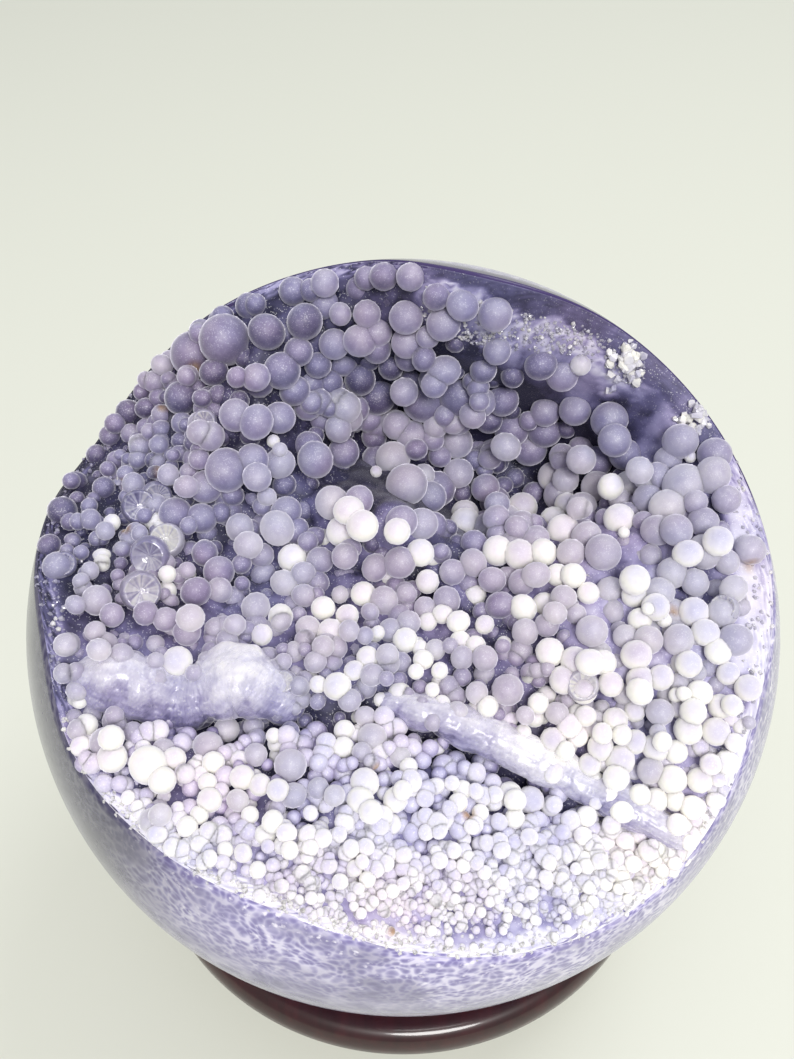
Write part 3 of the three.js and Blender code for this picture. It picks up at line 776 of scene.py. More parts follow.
def restingPlaces(rows):
    # dark ones first: each next grape is raised until it only just overlaps those before it
    rows = np.array(sorted(rows, key=lambda r: (r[3], r[0], r[1])))
    feet = onSurface(rows[:, 0], rows[:, 1])
    towards = (eye - feet) / np.linalg.norm(eye - feet, axis=1)[:, None]
    radii = rows[:, 2]
    placed = np.zeros((0, 3))
    for i in range(len(rows)):
        lift = rest["lift"] * radii[i]
        while lift < rest["mostLift"]:
            here = feet[i] + lift * towards[i]
            far = np.linalg.norm(placed - here, axis=1) / (radii[:i] + radii[i])
            if i == 0 or far.min() > rest["apart"]:
                break
            lift += rest["step"]
        placed = np.vstack([placed, here])
    u, v = rows[:, 0], rows[:, 1]
    # paler at the right and at the front and a little darker at the left; darker toward the back, painted
    # shade where the hollow lies deeper
    paler = 0.08 * smooth((u - 12) / 6) + 0.04 * smooth((-14 - v) / 6) - 0.05 * smooth((v - 2) / 6)
    paler = paler - 0.03 * smooth((-18 - u) / 6) * smooth((v + 8) / 6)
    return insideBall(placed, radii), radii, np.clip(rows[:, 3] + paler, 0.22, 0.95), towards


chosenAt, chosenRadii, chosenTones, chosenTowards = restingPlaces(chosenGrapes)


def pointObject(name, points, **values):
    # bare points with values, for the node trees
    obj = makeObject(name, points, [])
    for key, value in values.items():
        addValues(obj.data, key, value)
    return obj


# the room that scattered grapes leave free: each chosen grape, and the way from it towards the eye
steps = [(0.0, 1.0), (1.5, 0.65), (2.8, 0.5)]  # distance and room, in radii
clearObject = pointObject(
    "keptClear",
    np.concatenate([chosenAt + chosenTowards * (chosenRadii * a)[:, None] for a, b in steps]),
    room=np.concatenate([chosenRadii / 1000 * b for a, b in steps]),
)
isLarge = chosenRadii > largeFrom
largePlaces, smallPlaces = [
    pointObject(name, chosenAt[some], size=chosenRadii[some] / 1000, tone=chosenTones[some])
    for name, some in (("largePlaces", isLarge), ("smallPlaces", ~isLarge))
]


def newTree(name, inputs):
    tree = bpy.data.node_groups.new(name, "GeometryNodeTree")
    tree.interface.new_socket("Geometry", in_out="INPUT", socket_type="NodeSocketGeometry")
    for label, kind, value in inputs:
        socket = tree.interface.new_socket(label, in_out="INPUT", socket_type="NodeSocket" + kind)
        if value is not None:
            socket.default_value = value
    tree.interface.new_socket("Geometry", in_out="OUTPUT", socket_type="NodeSocketGeometry")
    given = addNode(tree, "NodeGroupInput", (-2000, 0)).outputs
    return tree, given, addNode(tree, "NodeGroupOutput", (2200, 0))


def attributeNode(tree, name, at):
    found = addNode(tree, "GeometryNodeInputNamedAttribute", at, data_type="FLOAT", in_Name=name)
    return found.outputs["Attribute"]


def grapesOnPoints():
    # a slightly uneven grape on each point, sized by the point's own "size"
    tree, given, end = newTree("grapesOnPoints", [
        ("Grape", "Object", None), ("Unevenness", "Float", 0.08), ("Seed", "Int", 1),
        ("White from", "Float", 0.74), ("Material", "Material", None), ("White material", "Material", None),
    ])
    cloud = addNode(tree, "GeometryNodeMeshToPoints", (-900, 100), in_Mesh=given["Geometry"])
    shape = addNode(tree, "GeometryNodeObjectInfo", (-700, -200), in_Object=given["Grape"])
    most = maths(tree, (-1100, -350), "ADD", given["Unevenness"], 1.0)
    least = maths(tree, (-1100, -500), "SUBTRACT", 1.0, given["Unevenness"])
    stretch = addNode(tree, "FunctionNodeRandomValue", (-900, -400), data_type="FLOAT_VECTOR", in_0=least,
                      in_1=most, in_Seed=given["Seed"])
    scale = scaled(tree, (-600, -400), stretch, attributeNode(tree, "size", (-900, -650)))
    spin = addNode(tree, "FunctionNodeRandomValue", (-600, -650), data_type="FLOAT_VECTOR",
                   in_1=(6.28, 6.28, 6.28), in_Seed=given["Seed"])
    grapes = addNode(tree, "GeometryNodeInstanceOnPoints", (-200, 100), in_Points=cloud.outputs["Points"],
                     in_Instance=shape.outputs["Geometry"], in_Scale=scale, in_Rotation=spin)
    real = addNode(tree, "GeometryNodeRealizeInstances", (100, 100), in_Geometry=grapes.outputs["Instances"])
    finish = addNode(tree, "GeometryNodeSetMaterial", (400, 100), in_Geometry=real.outputs["Geometry"],
                     in_Material=given["Material"])
    isWhite = addNode(tree, "FunctionNodeCompare", (400, -150), data_type="FLOAT", operation="GREATER_THAN",
                      in_0=attributeNode(tree, "tone", (200, -150)), in_1=given["White from"])
    glintSpeckled = addNode(tree, "GeometryNodeSetMaterial", (700, 100), in_Geometry=finish.outputs["Geometry"],
                      in_Selection=isWhite, in_Material=given["White material"])
    feed(tree, end, {"Geometry": glintSpeckled})
    return tree


def bunchTree():
    # chains of grapes scattered over a patch of the bed
    tree, given, end = newTree("grapeBunches", [
        ("Grape", "Object", None), ("Kept clear", "Object", None), ("Spacing", "Float", 0.003),
        ("Density", "Float", 200000.0), ("Most in chain", "Int", 3), ("Spread", "Float", 0.62),
        ("Rise", "Float", 0.85), ("Seed", "Int", 1), ("White tone", "Float", 0.9),
        ("Material", "Material", None), ("White material", "Material", None),
    ])
    scatter = addNode(tree, "GeometryNodeDistributePointsOnFaces", (-1700, 100), distribute_method="POISSON",
                      in_Mesh=given["Geometry"])
    feed(tree, scatter, {
        "Distance Min": given["Spacing"], "Density Max": given["Density"], "Seed": given["Seed"],
        "Density Factor": attributeNode(tree, "zone", (-1900, -300)),
    })

    # one to several grapes from each root
    length = addNode(tree, "FunctionNodeRandomValue", (-1500, -300), data_type="INT", in_4=1,
                     in_5=given["Most in chain"], in_Seed=given["Seed"])
    chain = addNode(tree, "GeometryNodeDuplicateElements", (-1300, 100), domain="POINT",
                    in_Geometry=scatter.outputs["Points"], in_Amount=length.outputs[2])
    step = chain.outputs["Duplicate Index"]

    # the patch gives the usual size, and every grape has its own
    ownSize = addNode(tree, "FunctionNodeRandomValue", (-1300, -500), data_type="FLOAT", in_2=0.62, in_3=1.12)
    radius = maths(tree, (-1050, -500), "MULTIPLY", ownSize.outputs[1],
                   attributeNode(tree, "size", (-1300, -700)))
    sized = addNode(tree, "GeometryNodeStoreNamedAttribute", (-1050, 100), data_type="FLOAT", domain="POINT",
                    in_Name="size", in_Geometry=chain.outputs["Geometry"], in_Value=radius)
    size = attributeNode(tree, "size", (-900, -500))

    # each next grape of a chain sits further out and to a side
    outward = maths(tree, (-900, -100), "MULTIPLY_ADD", step, given["Rise"], -0.05)
    rise = scaled(tree, (-700, -100), scatter.outputs["Normal"], outward)
    side = addNode(tree, "FunctionNodeRandomValue", (-900, -280), data_type="FLOAT_VECTOR", in_0=(-1, -1, -1),
                   in_1=(1, 1, 1))
    sideways = scaled(tree, (-700, -280), side, given["Spread"])
    together = vectorMaths(tree, (-500, -200), "ADD", rise, sideways)
    offset = scaled(tree, (-300, -200), together, size)
    moved = addNode(tree, "GeometryNodeSetPosition", (-300, 100), in_Geometry=sized.outputs["Geometry"],
                    in_Offset=offset)

    # nothing stands out of the ball
    where = addNode(tree, "GeometryNodeInputPosition", (-300, -450))
    fromCentre = vectorMaths(tree, (-100, -450), "SUBTRACT", where, (0, 0, ball["centreZ"] / 1000))
    far = vectorMaths(tree, (100, -550), "LENGTH", fromCentre)
    room = maths(tree, (100, -700), "SUBTRACT", (ball["radius"] + ball["proud"]) / 1000, size)
    ratio = maths(tree, (300, -600), "DIVIDE", room, far.outputs["Value"])
    limit = maths(tree, (480, -600), "MINIMUM", ratio, 1.0)
    pulled = scaled(tree, (480, -400), fromCentre, limit)
    back = vectorMaths(tree, (660, -400), "ADD", pulled, (0, 0, ball["centreZ"] / 1000))
    inside = addNode(tree, "GeometryNodeSetPosition", (-50, 100), in_Geometry=moved.outputs["Geometry"],
                     in_Position=back)

    # scattered grapes that would run into a chosen one are left out
    kept = addNode(tree, "GeometryNodeObjectInfo", (100, -900), in_Object=given["Kept clear"])
    nearest = addNode(tree, "GeometryNodeSampleNearest", (320, -900), in_Geometry=kept.outputs["Geometry"])
    nearPlace = addNode(tree, "GeometryNodeSampleIndex", (540, -850), data_type="FLOAT_VECTOR",
                        in_1=addNode(tree, "GeometryNodeInputPosition", (320, -1050)).outputs[0],
                        in_Geometry=kept.outputs["Geometry"], in_Index=nearest.outputs["Index"])
    nearRoom = addNode(tree, "GeometryNodeSampleIndex", (540, -1100), data_type="FLOAT",
                       in_1=attributeNode(tree, "room", (320, -1200)), in_Geometry=kept.outputs["Geometry"],
                       in_Index=nearest.outputs["Index"])
    gap = vectorMaths(tree, (750, -850), "DISTANCE", nearPlace,
                      addNode(tree, "GeometryNodeInputPosition", (750, -1000)).outputs[0])
    need = maths(tree, (750, -1150), "ADD", nearRoom, size)
    most = maths(tree, (930, -1100), "MULTIPLY", need, 0.74)
    tooNear = addNode(tree, "FunctionNodeCompare", (1100, -950), data_type="FLOAT", operation="LESS_THAN",
                      in_0=gap.outputs["Value"], in_1=most)
    thinned = addNode(tree, "GeometryNodeDeleteGeometry", (200, 100), domain="POINT",
                      in_Geometry=inside.outputs["Geometry"], in_Selection=tooNear)

    # tone: the patch's own, lighter up the chain, partly the outer grapes' own paler colour and partly
    # painted light on those standing nearer the lamps, and a share of them white
    swing = addNode(tree, "FunctionNodeRandomValue", (400, -150), data_type="FLOAT", in_2=-0.13, in_3=0.13)
    lighter = maths(tree, (600, -50), "MULTIPLY_ADD", step, 0.08, swing.outputs[1])
    plain = maths(tree, (780, 0), "ADD", attributeNode(tree, "tone", (600, 150)), lighter)
    whites = addNode(tree, "FunctionNodeRandomValue", (780, -200), data_type="BOOLEAN",
                     in_Probability=attributeNode(tree, "whiteShare", (600, -300)), in_Seed=77)
    chosen = addNode(tree, "GeometryNodeSwitch", (980, 0), input_type="FLOAT", in_0=whites.outputs[3],
                     in_1=plain, in_2=given["White tone"])
    toned = addNode(tree, "GeometryNodeStoreNamedAttribute", (1200, 100), data_type="FLOAT", domain="POINT",
                    in_Name="tone", in_Geometry=thinned.outputs["Geometry"], in_Value=chosen)

    cloud = addNode(tree, "GeometryNodePointsToVertices", (1400, 100), in_Points=toned.outputs["Geometry"])
    grapes = addNode(tree, "GeometryNodeGroup", (1650, 100), node_tree=pointGrapes,
                     in_Geometry=cloud.outputs["Mesh"])
    feed(tree, grapes, {label: given[label] for label in ("Grape", "Seed", "Material", "White material")})
    feed(tree, end, {"Geometry": grapes})
    return tree


def quiltedSphere(name, around, rings):
    bpy.ops.mesh.primitive_uv_sphere_add(segments=around, ring_count=rings, radius=1)
    obj = bpy.context.object
    obj.name = name
    obj.data.shade_smooth()
    obj.hide_render = True
    return obj


def unitShape(name, subdivisions, uneven=0.0):
    bpy.ops.mesh.primitive_ico_sphere_add(subdivisions=subdivisions, radius=1)
    obj = bpy.context.object
    obj.name = name
    if uneven:
        local = np.random.default_rng(4)
        for vertex in obj.data.vertices:
            vertex.co *= 1 + uneven * local.uniform(-1, 1)
    else:
        obj.data.shade_smooth()
    obj.hide_render = True
    return obj


def settled(obj, tree, values):
    # the tree's result as a plain mesh
    modifier = obj.modifiers.new("made", "NODES")
    modifier.node_group = tree
    for item in tree.interface.items_tree:
        if item.item_type == "SOCKET" and item.in_out == "INPUT" and item.name in values:
            modifier[item.identifier] = values[item.name]
    evaluated = obj.evaluated_get(bpy.context.evaluated_depsgraph_get())
    mesh = bpy.data.meshes.new_from_object(evaluated)
    obj.modifiers.clear()
    return mesh


def addPiece(name, mesh):
    addStain(mesh)
    obj = bpy.data.objects.new(name, mesh)
    mesh.name = name
    scene.collection.objects.link(obj)
    dress(obj, "grape_crust")
    print(name, len(mesh.polygons), "faces")


largeSphere = quiltedSphere("largeSphere", 20, 12)
smallSphere = quiltedSphere("smallSphere", 12, 8)
coarseSphere = unitShape("coarseSphere", 2)
chip = unitShape("chip", 1, 0.28)
pointGrapes = grapesOnPoints()
bunches = bunchTree()

chosen = {"Unevenness": 0.07, "Seed": 3, "Material": grapeStone, "White material": whiteStone}
addPiece("grapesLarge", settled(largePlaces, pointGrapes, {**chosen, "Grape": largeSphere}))
addPiece("grapesChosen", settled(smallPlaces, pointGrapes, {**chosen, "Grape": smallSphere}))

# a patch's limits and the least distance between its roots; chain, shape, stone and whites where they differ
zones = [
    {"name": "grapesLeft", "v": (-3, 60), "u": (-60, -22), "spacing": 1.7},
    {"name": "grapesBackLeft", "v": (8, 60), "u": (-22, 2), "spacing": 2.3},
    {"name": "grapesBackRight", "v": (8, 60), "u": (2, 60), "spacing": 2.3, "chain": 4},
    {"name": "grapesMiddleLeft", "v": (-6, 8), "u": (-22, 4), "spacing": 1.8},
    {"name": "grapesMiddleRight", "v": (-6, 8), "u": (4, 60), "spacing": 1.8},
    {"name": "grapesLower", "v": (-17, -6), "u": (-60, 60), "spacing": 1.35},
    {"name": "grapesFront", "v": (-27, -17), "u": (-60, 60), "spacing": 1.08,
     "stone": fineStone, "whites": 0.77},
    {"name": "grapesEdge", "v": (-60, -27), "u": (-60, 60), "spacing": 0.6,
     "shape": coarseSphere, "stone": fineStone, "whites": 0.77},
]


# roots to a square metre at a spacing of one millimetre
rootDensity = {"bed": 4e6, "rim": 5e6}


def bedPatch(zone):
    # the bed's upper face inside the zone, with size, tone and density
    rings, around = bedU.shape
    share = rimShare(bedU, bedV)[0]
    top = onSurface(bedU, bedV, bedForm["top"] + 0.4)
    wobble = 1.6 * np.sin(bedU * 0.35) + 1.0 * np.sin(bedU * 0.9 + 1)
    (firstU, lastU), (firstV, lastV) = zone["u"], zone["v"]
    inside = (bedU >= firstU) & (bedU < lastU) & (bedV + wobble >= firstV) & (bedV + wobble < lastV)
    inside = inside & (share < 0.985)
    faces = []
    for r in range(rings - 1):
        for k in range(around):
            j = (k + 1) % around
            if inside[r, k] and inside[r, j] and inside[r + 1, k] and inside[r + 1, j]:
                faces.append((r * around + k, (r + 1) * around + k, (r + 1) * around + j, r * around + j))
    obj = makeObject("patch", top.reshape(-1, 3), faces)
    mound = smooth(1.5 - np.hypot((bedU + 1.5) / 8, (bedV - 12) / 6))
    tone = np.maximum(toneAt(bedU, bedV) - 0.08 * smooth((bedV + 26) / 8), 0.29)
    filled = (1 - 0.92 * mound) * (1 - 0.6 * recessAt(bedU, bedV))
    addValues(obj.data, "tone", tone.ravel())
    addValues(obj.data, "size", (sizeAt(bedU, bedV) * (1 + 0.35 * mound) / 1000).ravel())
    addValues(obj.data, "whiteShare", (whiteShareAt(bedU, bedV) * (1 - mound)).ravel())
    addValues(obj.data, "zone", np.where(bareAt(bedU, bedV) > 0.5, 0, filled).ravel())
    return obj


for i, zone in enumerate(zones):
    patch = bedPatch(zone)
    mesh = settled(patch, bunches, {
        "Grape": zone.get("shape", smallSphere),
        "Kept clear": clearObject,
        "Spacing": zone["spacing"] / 1000,
        "Density": rootDensity["bed"] / zone["spacing"] ** 2,
        "Most in chain": zone.get("chain", 3),
        "Seed": 20 + i,
        "Material": zone.get("stone", grapeStone),
        "White material": zone.get("stone", whiteStone),
        "White tone": zone.get("whites", 0.9),
    })
    bpy.data.objects.remove(patch)
    addPiece(zone["name"], mesh)

# ridges of smooth stone across the hollow: u, v, radius, lift and tone along each
ridges = {
    "ridgeLeft": [
        # the boss at u -17.4 is paler, partly its own colour and partly a painted highlight
        (-34.0, -11.6, 1.4, -0.6, 0.50), (-31.0, -11.6, 2.7, -0.5, 0.56), (-27.6, -11.9, 3.0, -0.2, 0.52),
        (-23.5, -12.9, 3.0, -0.5, 0.42), (-20.2, -12.4, 3.1, -0.2, 0.50), (-17.4, -11.2, 3.5, 0.2, 0.72),
        (-14.4, -12.2, 2.8, -0.3, 0.52), (-11.8, -13.4, 2.2, -0.6, 0.46), (-10.2, -13.8, 1.2, -1.0, 0.44),
    ],
    "ridgeSlanting": [
        (-2.8, -13.0, 0.9, -0.4, 0.50), (0.4, -13.9, 1.4, 0.0, 0.54), (4.2, -15.0, 1.7, 0.3, 0.53),
        (8.0, -16.5, 1.8, 0.6, 0.57), (10.6, -17.7, 1.8, 0.7, 0.68), (14.0, -19.2, 1.8, 0.8, 0.78),
        (16.6, -20.6, 1.6, 0.6, 0.72), (19.2, -22.1, 1.5, 0.5, 0.54), (22.1, -23.4, 1.5, 0.5, 0.52),
        (25.4, -25.4, 1.5, 0.4, 0.60), (28.6, -27.7, 1.3, 0.3, 0.66),
    ],
}
ridgeForm = {"along": 220, "around": 72, "flat": 0.82,
             "lumps": 0.4, "grain": 0.10, "streaks": 0.12, "fused": 0.55}


def curveThrough(rows, count):
    rows = np.array(rows)
    ends = np.vstack([2 * rows[0] - rows[1], rows, 2 * rows[-1] - rows[-2]])
    s = np.linspace(0, len(rows) - 1 - 1e-6, count)
    i = s.astype(int)
    return curved(*(ends[i + k] for k in range(4)), (s - i)[:, None])


def makeRidge(name, rows, form, seed):
    line = curveThrough(rows, form["along"])
    centre = onSurface(line[:, 0], line[:, 1], line[:, 3])
    ahead = np.gradient(centre, axis=0)
    ahead /= np.linalg.norm(ahead, axis=1)[:, None]
    up = place(0.0, 0.0, 1.0) - place(0.0, 0.0, 0.0)
    side = np.cross(ahead, up)
    side /= np.linalg.norm(side, axis=1)[:, None]
    top = np.cross(side, ahead)
    local = np.random.default_rng(seed)
    n, m = form["along"], form["around"]
    turn = np.arange(m) * 2 * math.pi / m
    s = np.linspace(0, 1, n)
    ends = np.sqrt(np.clip(1 - (2 * s - 1) ** 12, 0, 1))
    around = np.cos(turn)[None, :, None] * side[:, None]
    around = around + form["flat"] * np.sin(turn)[None, :, None] * top[:, None]
    points = (centre[:, None] + (line[:, 2] * ends)[:, None, None] * around).reshape(-1, 3)
    outward = around.reshape(-1, 3)

    # lumps, grain, streaks along it and rounded bumps like fused grapes
    shift = []
    for p in map(Vector, points):
        lumps, creases, grain = (noise.noise(p * scale) for scale in (0.42, 1.0, 2.1))
        shift.append(form["lumps"] * lumps + form["grain"] * grain - 0.3 * form["lumps"] * abs(creases))
    streaks = np.array([noise.noise((q * 16, 6 * math.cos(a), 6 * math.sin(a))) for q in s for a in turn])
    fused = np.array([noise.voronoi(Vector(p) * 0.36)[0][0] for p in points])
    rounded = np.sqrt(np.maximum(1 - (fused / 0.8) ** 2, 0))
    shift = np.array(shift) + form["streaks"] * streaks + form["fused"] * rounded
    points = points + outward * (shift * np.repeat(ends, m))[:, None]
    points = np.vstack([points, centre[0], centre[-1]])
    faces = polarFaces(n, m, n * m, n * m + 1)
    obj = makeObject(name, points, faces)
    # painted light and shade: paler along the ridge's top, darker on its lower front flank and in the creases
    # between the fused bumps
    lit = np.tile(0.08 * np.sin(turn) - 0.20 * np.maximum(np.cos(turn), -0.3), n) - 0.10 * (fused > 0.62)
    tone = np.repeat(line[:, 4], m) + lit + 0.10 * streaks + 0.03 * local.standard_normal(n * m)
    tone = np.clip(tone, 0, 1)
    crustPiece(obj, np.concatenate([tone, [0.6, 0.6]]), ridgeStone)


for i, (name, rows) in enumerate(ridges.items()):
    makeRidge(name, rows, ridgeForm, 40 + i)
print("ridges ready")

# broken grapes show a glassy bowl: u, v, radius, tone
brokenGrapes = [
    (-28.2, -1.5, 2.2, 0.6), (-26.7, 5.4, 2.0, 0.78), (-28.2, 3.4, 2.2, 0.5), (-30.5, 9.9, 2.1, 0.42),
    (-28.7, 11.4, 1.8, 0.5), (-36.8, 1.5, 1.4, 0.5), (-22.8, 19.0, 1.4, 0.62), (18.6, -11.8, 1.7, 0.72),
    (34.1, -3.7, 1.6, 0.68), (-12.4, -11.4, 1.3, 0.75), (16.5, -11.2, 1.1, 0.72),
]
brokenForm = {"around": 48, "shell": 12, "bowl": 14, "cut": 0.62, "deep": 0.42, "lift": 0.55}


def makeBroken(rows, form):
    local = np.random.default_rng(9)
    allPoints, allFaces, allTones = [], [], []
    n = form["around"]
    turn = np.arange(n) * 2 * math.pi / n
    for u, v, r, tone in rows:
        foot = onSurface(u, v)
        towards = (eye - foot) / np.linalg.norm(eye - foot)
        lean = local.uniform(-0.25, 0.25, 3)
        up = towards + lean
        up /= np.linalg.norm(up)
        side = np.cross(up, [0.3, 1, 0.2])
        side /= np.linalg.norm(side)
        other = np.cross(up, side)
        centre = insideBall(foot + towards * form["lift"] * r, np.array(r))
        cutAngle = math.acos(form["cut"])
        profile = [(math.sin(a), math.cos(a)) for a in np.linspace(math.pi * 0.97, cutAngle, form["shell"])]
        lip = math.sin(cutAngle)
        for q in np.linspace(0.97, 0.04, form["bowl"]):
            step = 0.012 * math.sin(q * 22)
            profile.append((lip * q, form["cut"] - form["deep"] * (1 - q * q) + step))
        rays = local.uniform(-1, 1, n)
        rings = []
        for i, (out, high) in enumerate(profile):
            rough = 0.05 * rays if i >= form["shell"] - 1 else 0 * rays
            wide = out * (1 + rough)[:, None] * (np.cos(turn)[:, None] * side + np.sin(turn)[:, None] * other)
            rings.append(centre + r * (wide + (high + rough * 0.8 * out)[:, None] * up))
        base = sum(len(p) for p in allPoints)
        count = len(profile) * n
        points = np.vstack([*rings, centre - r * up, centre + r * (form["cut"] - form["deep"]) * up])
        allFaces += [tuple(base + k for k in f) for f in polarFaces(len(profile), n, count, count + 1)]
        allPoints.append(points)
        inner = np.repeat(np.arange(len(profile)) >= form["shell"], n) * 0.16
        streak = np.tile(rays, len(profile)) * 0.22 * (inner > 0)
        allTones.append(np.concatenate([tone - 0.08 + inner + streak, [tone, tone]]))
    obj = makeObject("brokenGrapes", np.vstack(allPoints), allFaces)
    crustPiece(obj, np.concatenate(allTones), glassyStone)


makeBroken(brokenGrapes, brokenForm)
print("broken grapes ready")

# glassy crystals in clusters, two of them on the upper right wall: u, v, spread, how many, tone
crystalClusters = [
    (25.3, 24.4, 2.3, 30, 0.76), (33.2, 18.7, 2.1, 26, 0.74), (-33.4, 14.3, 1.6, 14, 0.6),
    (-31.8, 12.6, 1.0, 7, 0.7), (-27.3, 6.9, 0.9, 6, 0.75), (-35.5, 2.4, 0.8, 6, 0.75),
]


def makeCrystals(clusters):
    # broken blocks, each the hull of a few points on an uneven ball, the largest in the middle of its cluster
    local = np.random.default_rng(12)
    rows = []
    for u, v, spread, count, tone in clusters:
        away = spread * np.sqrt(np.arange(count) / count)
        turn = local.uniform(0, 2 * math.pi, count)
        reach = (0.34 + 0.5 * (1 - away / spread)) * local.uniform(0.8, 1.25, count) * spread / 2
        tones = tone + local.uniform(-0.15, 0.24, count)
        rows += zip(u + away * np.cos(turn), v + away * np.sin(turn), reach, tones)
    points, faces, tones = [], [], []
    for u, v, reach, tone in rows:
        middle = insideBall(onSurface(u, v, 0.6 * reach), np.array(reach))
        spokes = local.standard_normal((16, 3))
        spokes *= (reach * local.uniform(0.8, 1.1, 16) / np.linalg.norm(spokes, axis=1))[:, None]
        block = bmesh.new()
        for corner in middle + spokes:
            block.verts.new(corner)
        hull = bmesh.ops.convex_hull(block, input=block.verts)
        bmesh.ops.delete(block, geom=list(set(hull["geom_interior"] + hull["geom_unused"])), context="VERTS")
        block.verts.index_update()
        base = len(points)
        points += [list(corner.co) for corner in block.verts]
        faces += [tuple(base + corner.index for corner in face.verts) for face in block.faces]
        tones += list(np.clip(tone + local.uniform(-0.1, 0.1, len(block.verts)), 0, 1))
        block.free()
    crustPiece(makeObject("glassyCrystals", points, faces, even=False), tones, crystalStone)


makeCrystals(crystalClusters)
print("crystals ready")

# chips of broken crust along the rim: directions, distances in from the rim, size, tone, white share, filling
rimChips = [
    {"arc": (40, 86), "from": 1.4, "to": 3.4, "size": 0.24, "tone": 0.58, "white": 0.05, "fill": 0.4},
    {"arc": (205, 320), "from": 0.1, "to": 1.1, "size": 0.24, "tone": 0.86, "white": 0.4, "fill": 0.5},
    {"arc": (140, 205), "from": 0.1, "to": 2.2, "size": 0.26, "tone": 0.42, "white": 0.05, "fill": 0.2},
    {"arc": (320, 380), "from": 0.2, "to": 2.4, "size": 0.26, "tone": 0.6, "white": 0.1, "fill": 0.2},
]


def rimPatch(strip, along=220, across=8):
    theta = np.linspace(*strip["arc"], along)
    rho = ball["radius"] * np.sin(np.radians(rimAngle(theta)))
    inward = np.linspace(strip["from"], strip["to"], across)
    u = np.outer(rho, 1) - inward[None, :]
    c, s = np.cos(np.radians(theta))[:, None], np.sin(np.radians(theta))[:, None]
    points = onSurface(u * c, u * s, -0.25)
    faces = []
    for a in range(along - 1):
        for b in range(across - 1):
            k = a * across + b
            faces.append((k + across, k + across + 1, k + 1, k))
    obj = makeObject("strip", points.reshape(-1, 3), faces)
    values = {"tone": strip["tone"], "size": strip["size"] / 1000,
              "whiteShare": strip["white"], "zone": strip["fill"]}
    for name, value in values.items():
        addValues(obj.data, name, np.full(along * across, value))
    return obj


for i, strip in enumerate(rimChips):
    patch = rimPatch(strip)
    mesh = settled(patch, bunches, {
        "Grape": chip,
        "Kept clear": clearObject,
        "Spacing": strip["size"] * 1.15 / 1000,
        "Density": rootDensity["rim"] / strip["size"] ** 2,
        "Most in chain": 2,
        "Spread": 0.9,
        "Rise": 0.35,
        "Seed": 60 + i,
        "Material": glassyStone,
        "White material": whiteStone,
    })
    bpy.data.objects.remove(patch)
    addPiece("rimChips" + str(i + 1), mesh)

for helper in (largeSphere, smallSphere, coarseSphere, chip, clearObject, largePlaces, smallPlaces):
    bpy.data.objects.remove(helper)

standForm = {
    "around": 240,
    "section": [
        (20.4, 0.0), (34.4, 0.0), (34.85, 0.25), (35.0, 0.8), (35.0, 3.0), (34.6, 3.7), (33.6, 4.6),
        (33.2, 5.6), (33.15, 7.0), (33.5, 8.6), (34.5, 10.0), (36.2, 11.0), (37.8, 11.9), (38.7, 13.1),
        (39.05, 14.4), (39.0, 15.6), (38.6, 16.8), (38.0, 17.6), (37.2, 17.97), (36.0, 18.0), (30.0, 18.0),
        (26.4, 18.0), (25.8, 17.85), (25.2, 17.35), (24.2, 16.6), (22.6, 15.65), (21.0, 14.85),
        (20.5, 14.4), (20.4, 13.6),
    ],
}


def makeStand(form):
    n = form["around"]
    theta = np.arange(n) * 2 * math.pi / n
    section = np.array(form["section"])
    points = np.stack([
        np.outer(section[:, 0], np.cos(theta)),
        np.outer(section[:, 0], np.sin(theta)),
        np.repeat(section[:, 1:2], n, 1),
    ], -1).reshape(-1, 3)
    faces = []
    for r in range(len(section)):
        q = (r + 1) % len(section)
        for k in range(n):
            j = (k + 1) % n
            faces.append((r * n + k, r * n + j, q * n + j, q * n + k))
    obj = makeObject("ringStand", points, faces)
    obj.data.materials.append(redLacquer)
    return obj


ringStand = makeStand(standForm)
dress(ringStand, "ring_stand")
print("stand ready")

studio = {
    "floorHalf": 3, "floorZ": -0.0002,
    "floorColor": (0.645, 0.66, 0.585, 1), "worldColor": (0.95, 0.95, 0.96, 1), "worldStrength": 0.55,
    "lights": [  # name, place, aim, size, power, color
        ("front", (0.15, -0.75, 0.95), (0, 0, 0.06), 0.45, 13.0, (1.0, 0.985, 0.965)),
        ("above", (0.5, 0.4, 1.1), (0, 0, 0.06), 0.7, 4.5, (0.95, 0.97, 1.0)),
    ],
}


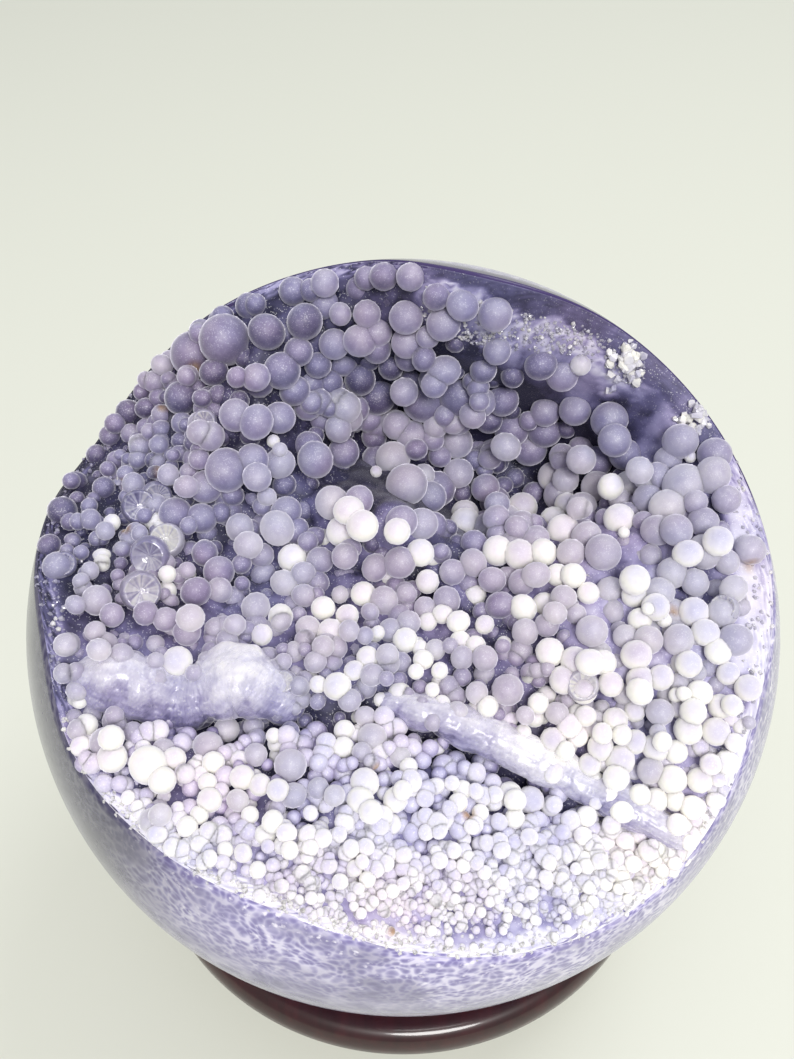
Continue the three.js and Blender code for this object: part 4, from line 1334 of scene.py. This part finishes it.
def makeFloor():
    mesh = bpy.data.meshes.new("floor")
    half, z = studio["floorHalf"], studio["floorZ"]
    corners = [(-half, -half, z), (half, -half, z), (half, half, z), (-half, half, z)]
    mesh.from_pydata(corners, [], [(0, 1, 2, 3)])
    obj = bpy.data.objects.new("floor", mesh)
    scene.collection.objects.link(obj)
    mat, tree, shader = newMaterial("paleFloor")
    feed(tree, shader, {"Base Color": studio["floorColor"], "Roughness": 0.9, "Specular IOR Level": 0.1})
    obj.data.materials.append(mat)
    return obj


def softLight(name, at, target, size, power, color):
    data = bpy.data.lights.new(name, "AREA")
    data.shape = "DISK"
    data.size = size
    data.energy = power
    data.color = color
    obj = bpy.data.objects.new(name, data)
    obj.location = at
    obj.rotation_euler = (Vector(target) - Vector(at)).to_track_quat("-Z", "Y").to_euler()
    scene.collection.objects.link(obj)


makeFloor()
for light in studio["lights"]:
    softLight(*light)
world = bpy.data.worlds.new("studio")
world.use_nodes = True
feed(world.node_tree, world.node_tree.nodes["Background"],
     {"Color": studio["worldColor"], "Strength": studio["worldStrength"]})
scene.world = world
scene.view_settings.view_transform = "Standard"


def makeCamera(form):
    data = bpy.data.cameras.new("camera")
    sensor = 36
    data.sensor_width = sensor
    data.lens = form["focal"] / form["height"] * sensor
    data.clip_start = 0.005
    obj = bpy.data.objects.new("camera", data)
    scene.collection.objects.link(obj)
    e = math.radians(form["elevation"])
    away = Vector((0, -math.cos(e), math.sin(e))) * form["distance"]
    forward = -away.normalized()
    right = Vector((1, 0, 0))
    up = right.cross(forward)
    # turned so that the ball's centre falls where the photograph has it
    dx = (form["centre"][0] - form["width"] / 2) / form["focal"]
    dy = (form["centre"][1] - form["height"] / 2) / form["focal"]
    pan = math.atan2(dx, math.hypot(dy, 1))
    tilt = math.atan2(-dy, 1)
    tilted = math.cos(tilt) * forward - math.sin(tilt) * up
    upward = right.cross(tilted)
    ahead = math.cos(pan) * tilted - math.sin(pan) * right
    across = math.cos(pan) * right + math.sin(pan) * tilted
    turned = Matrix((across, upward, -ahead)).transposed()
    obj.matrix_world = Matrix.Translation((away + Vector((0, 0, ball["centreZ"]))) / 1000) @ turned.to_4x4()
    return obj


scene.camera = makeCamera(view)

print("scene ready")
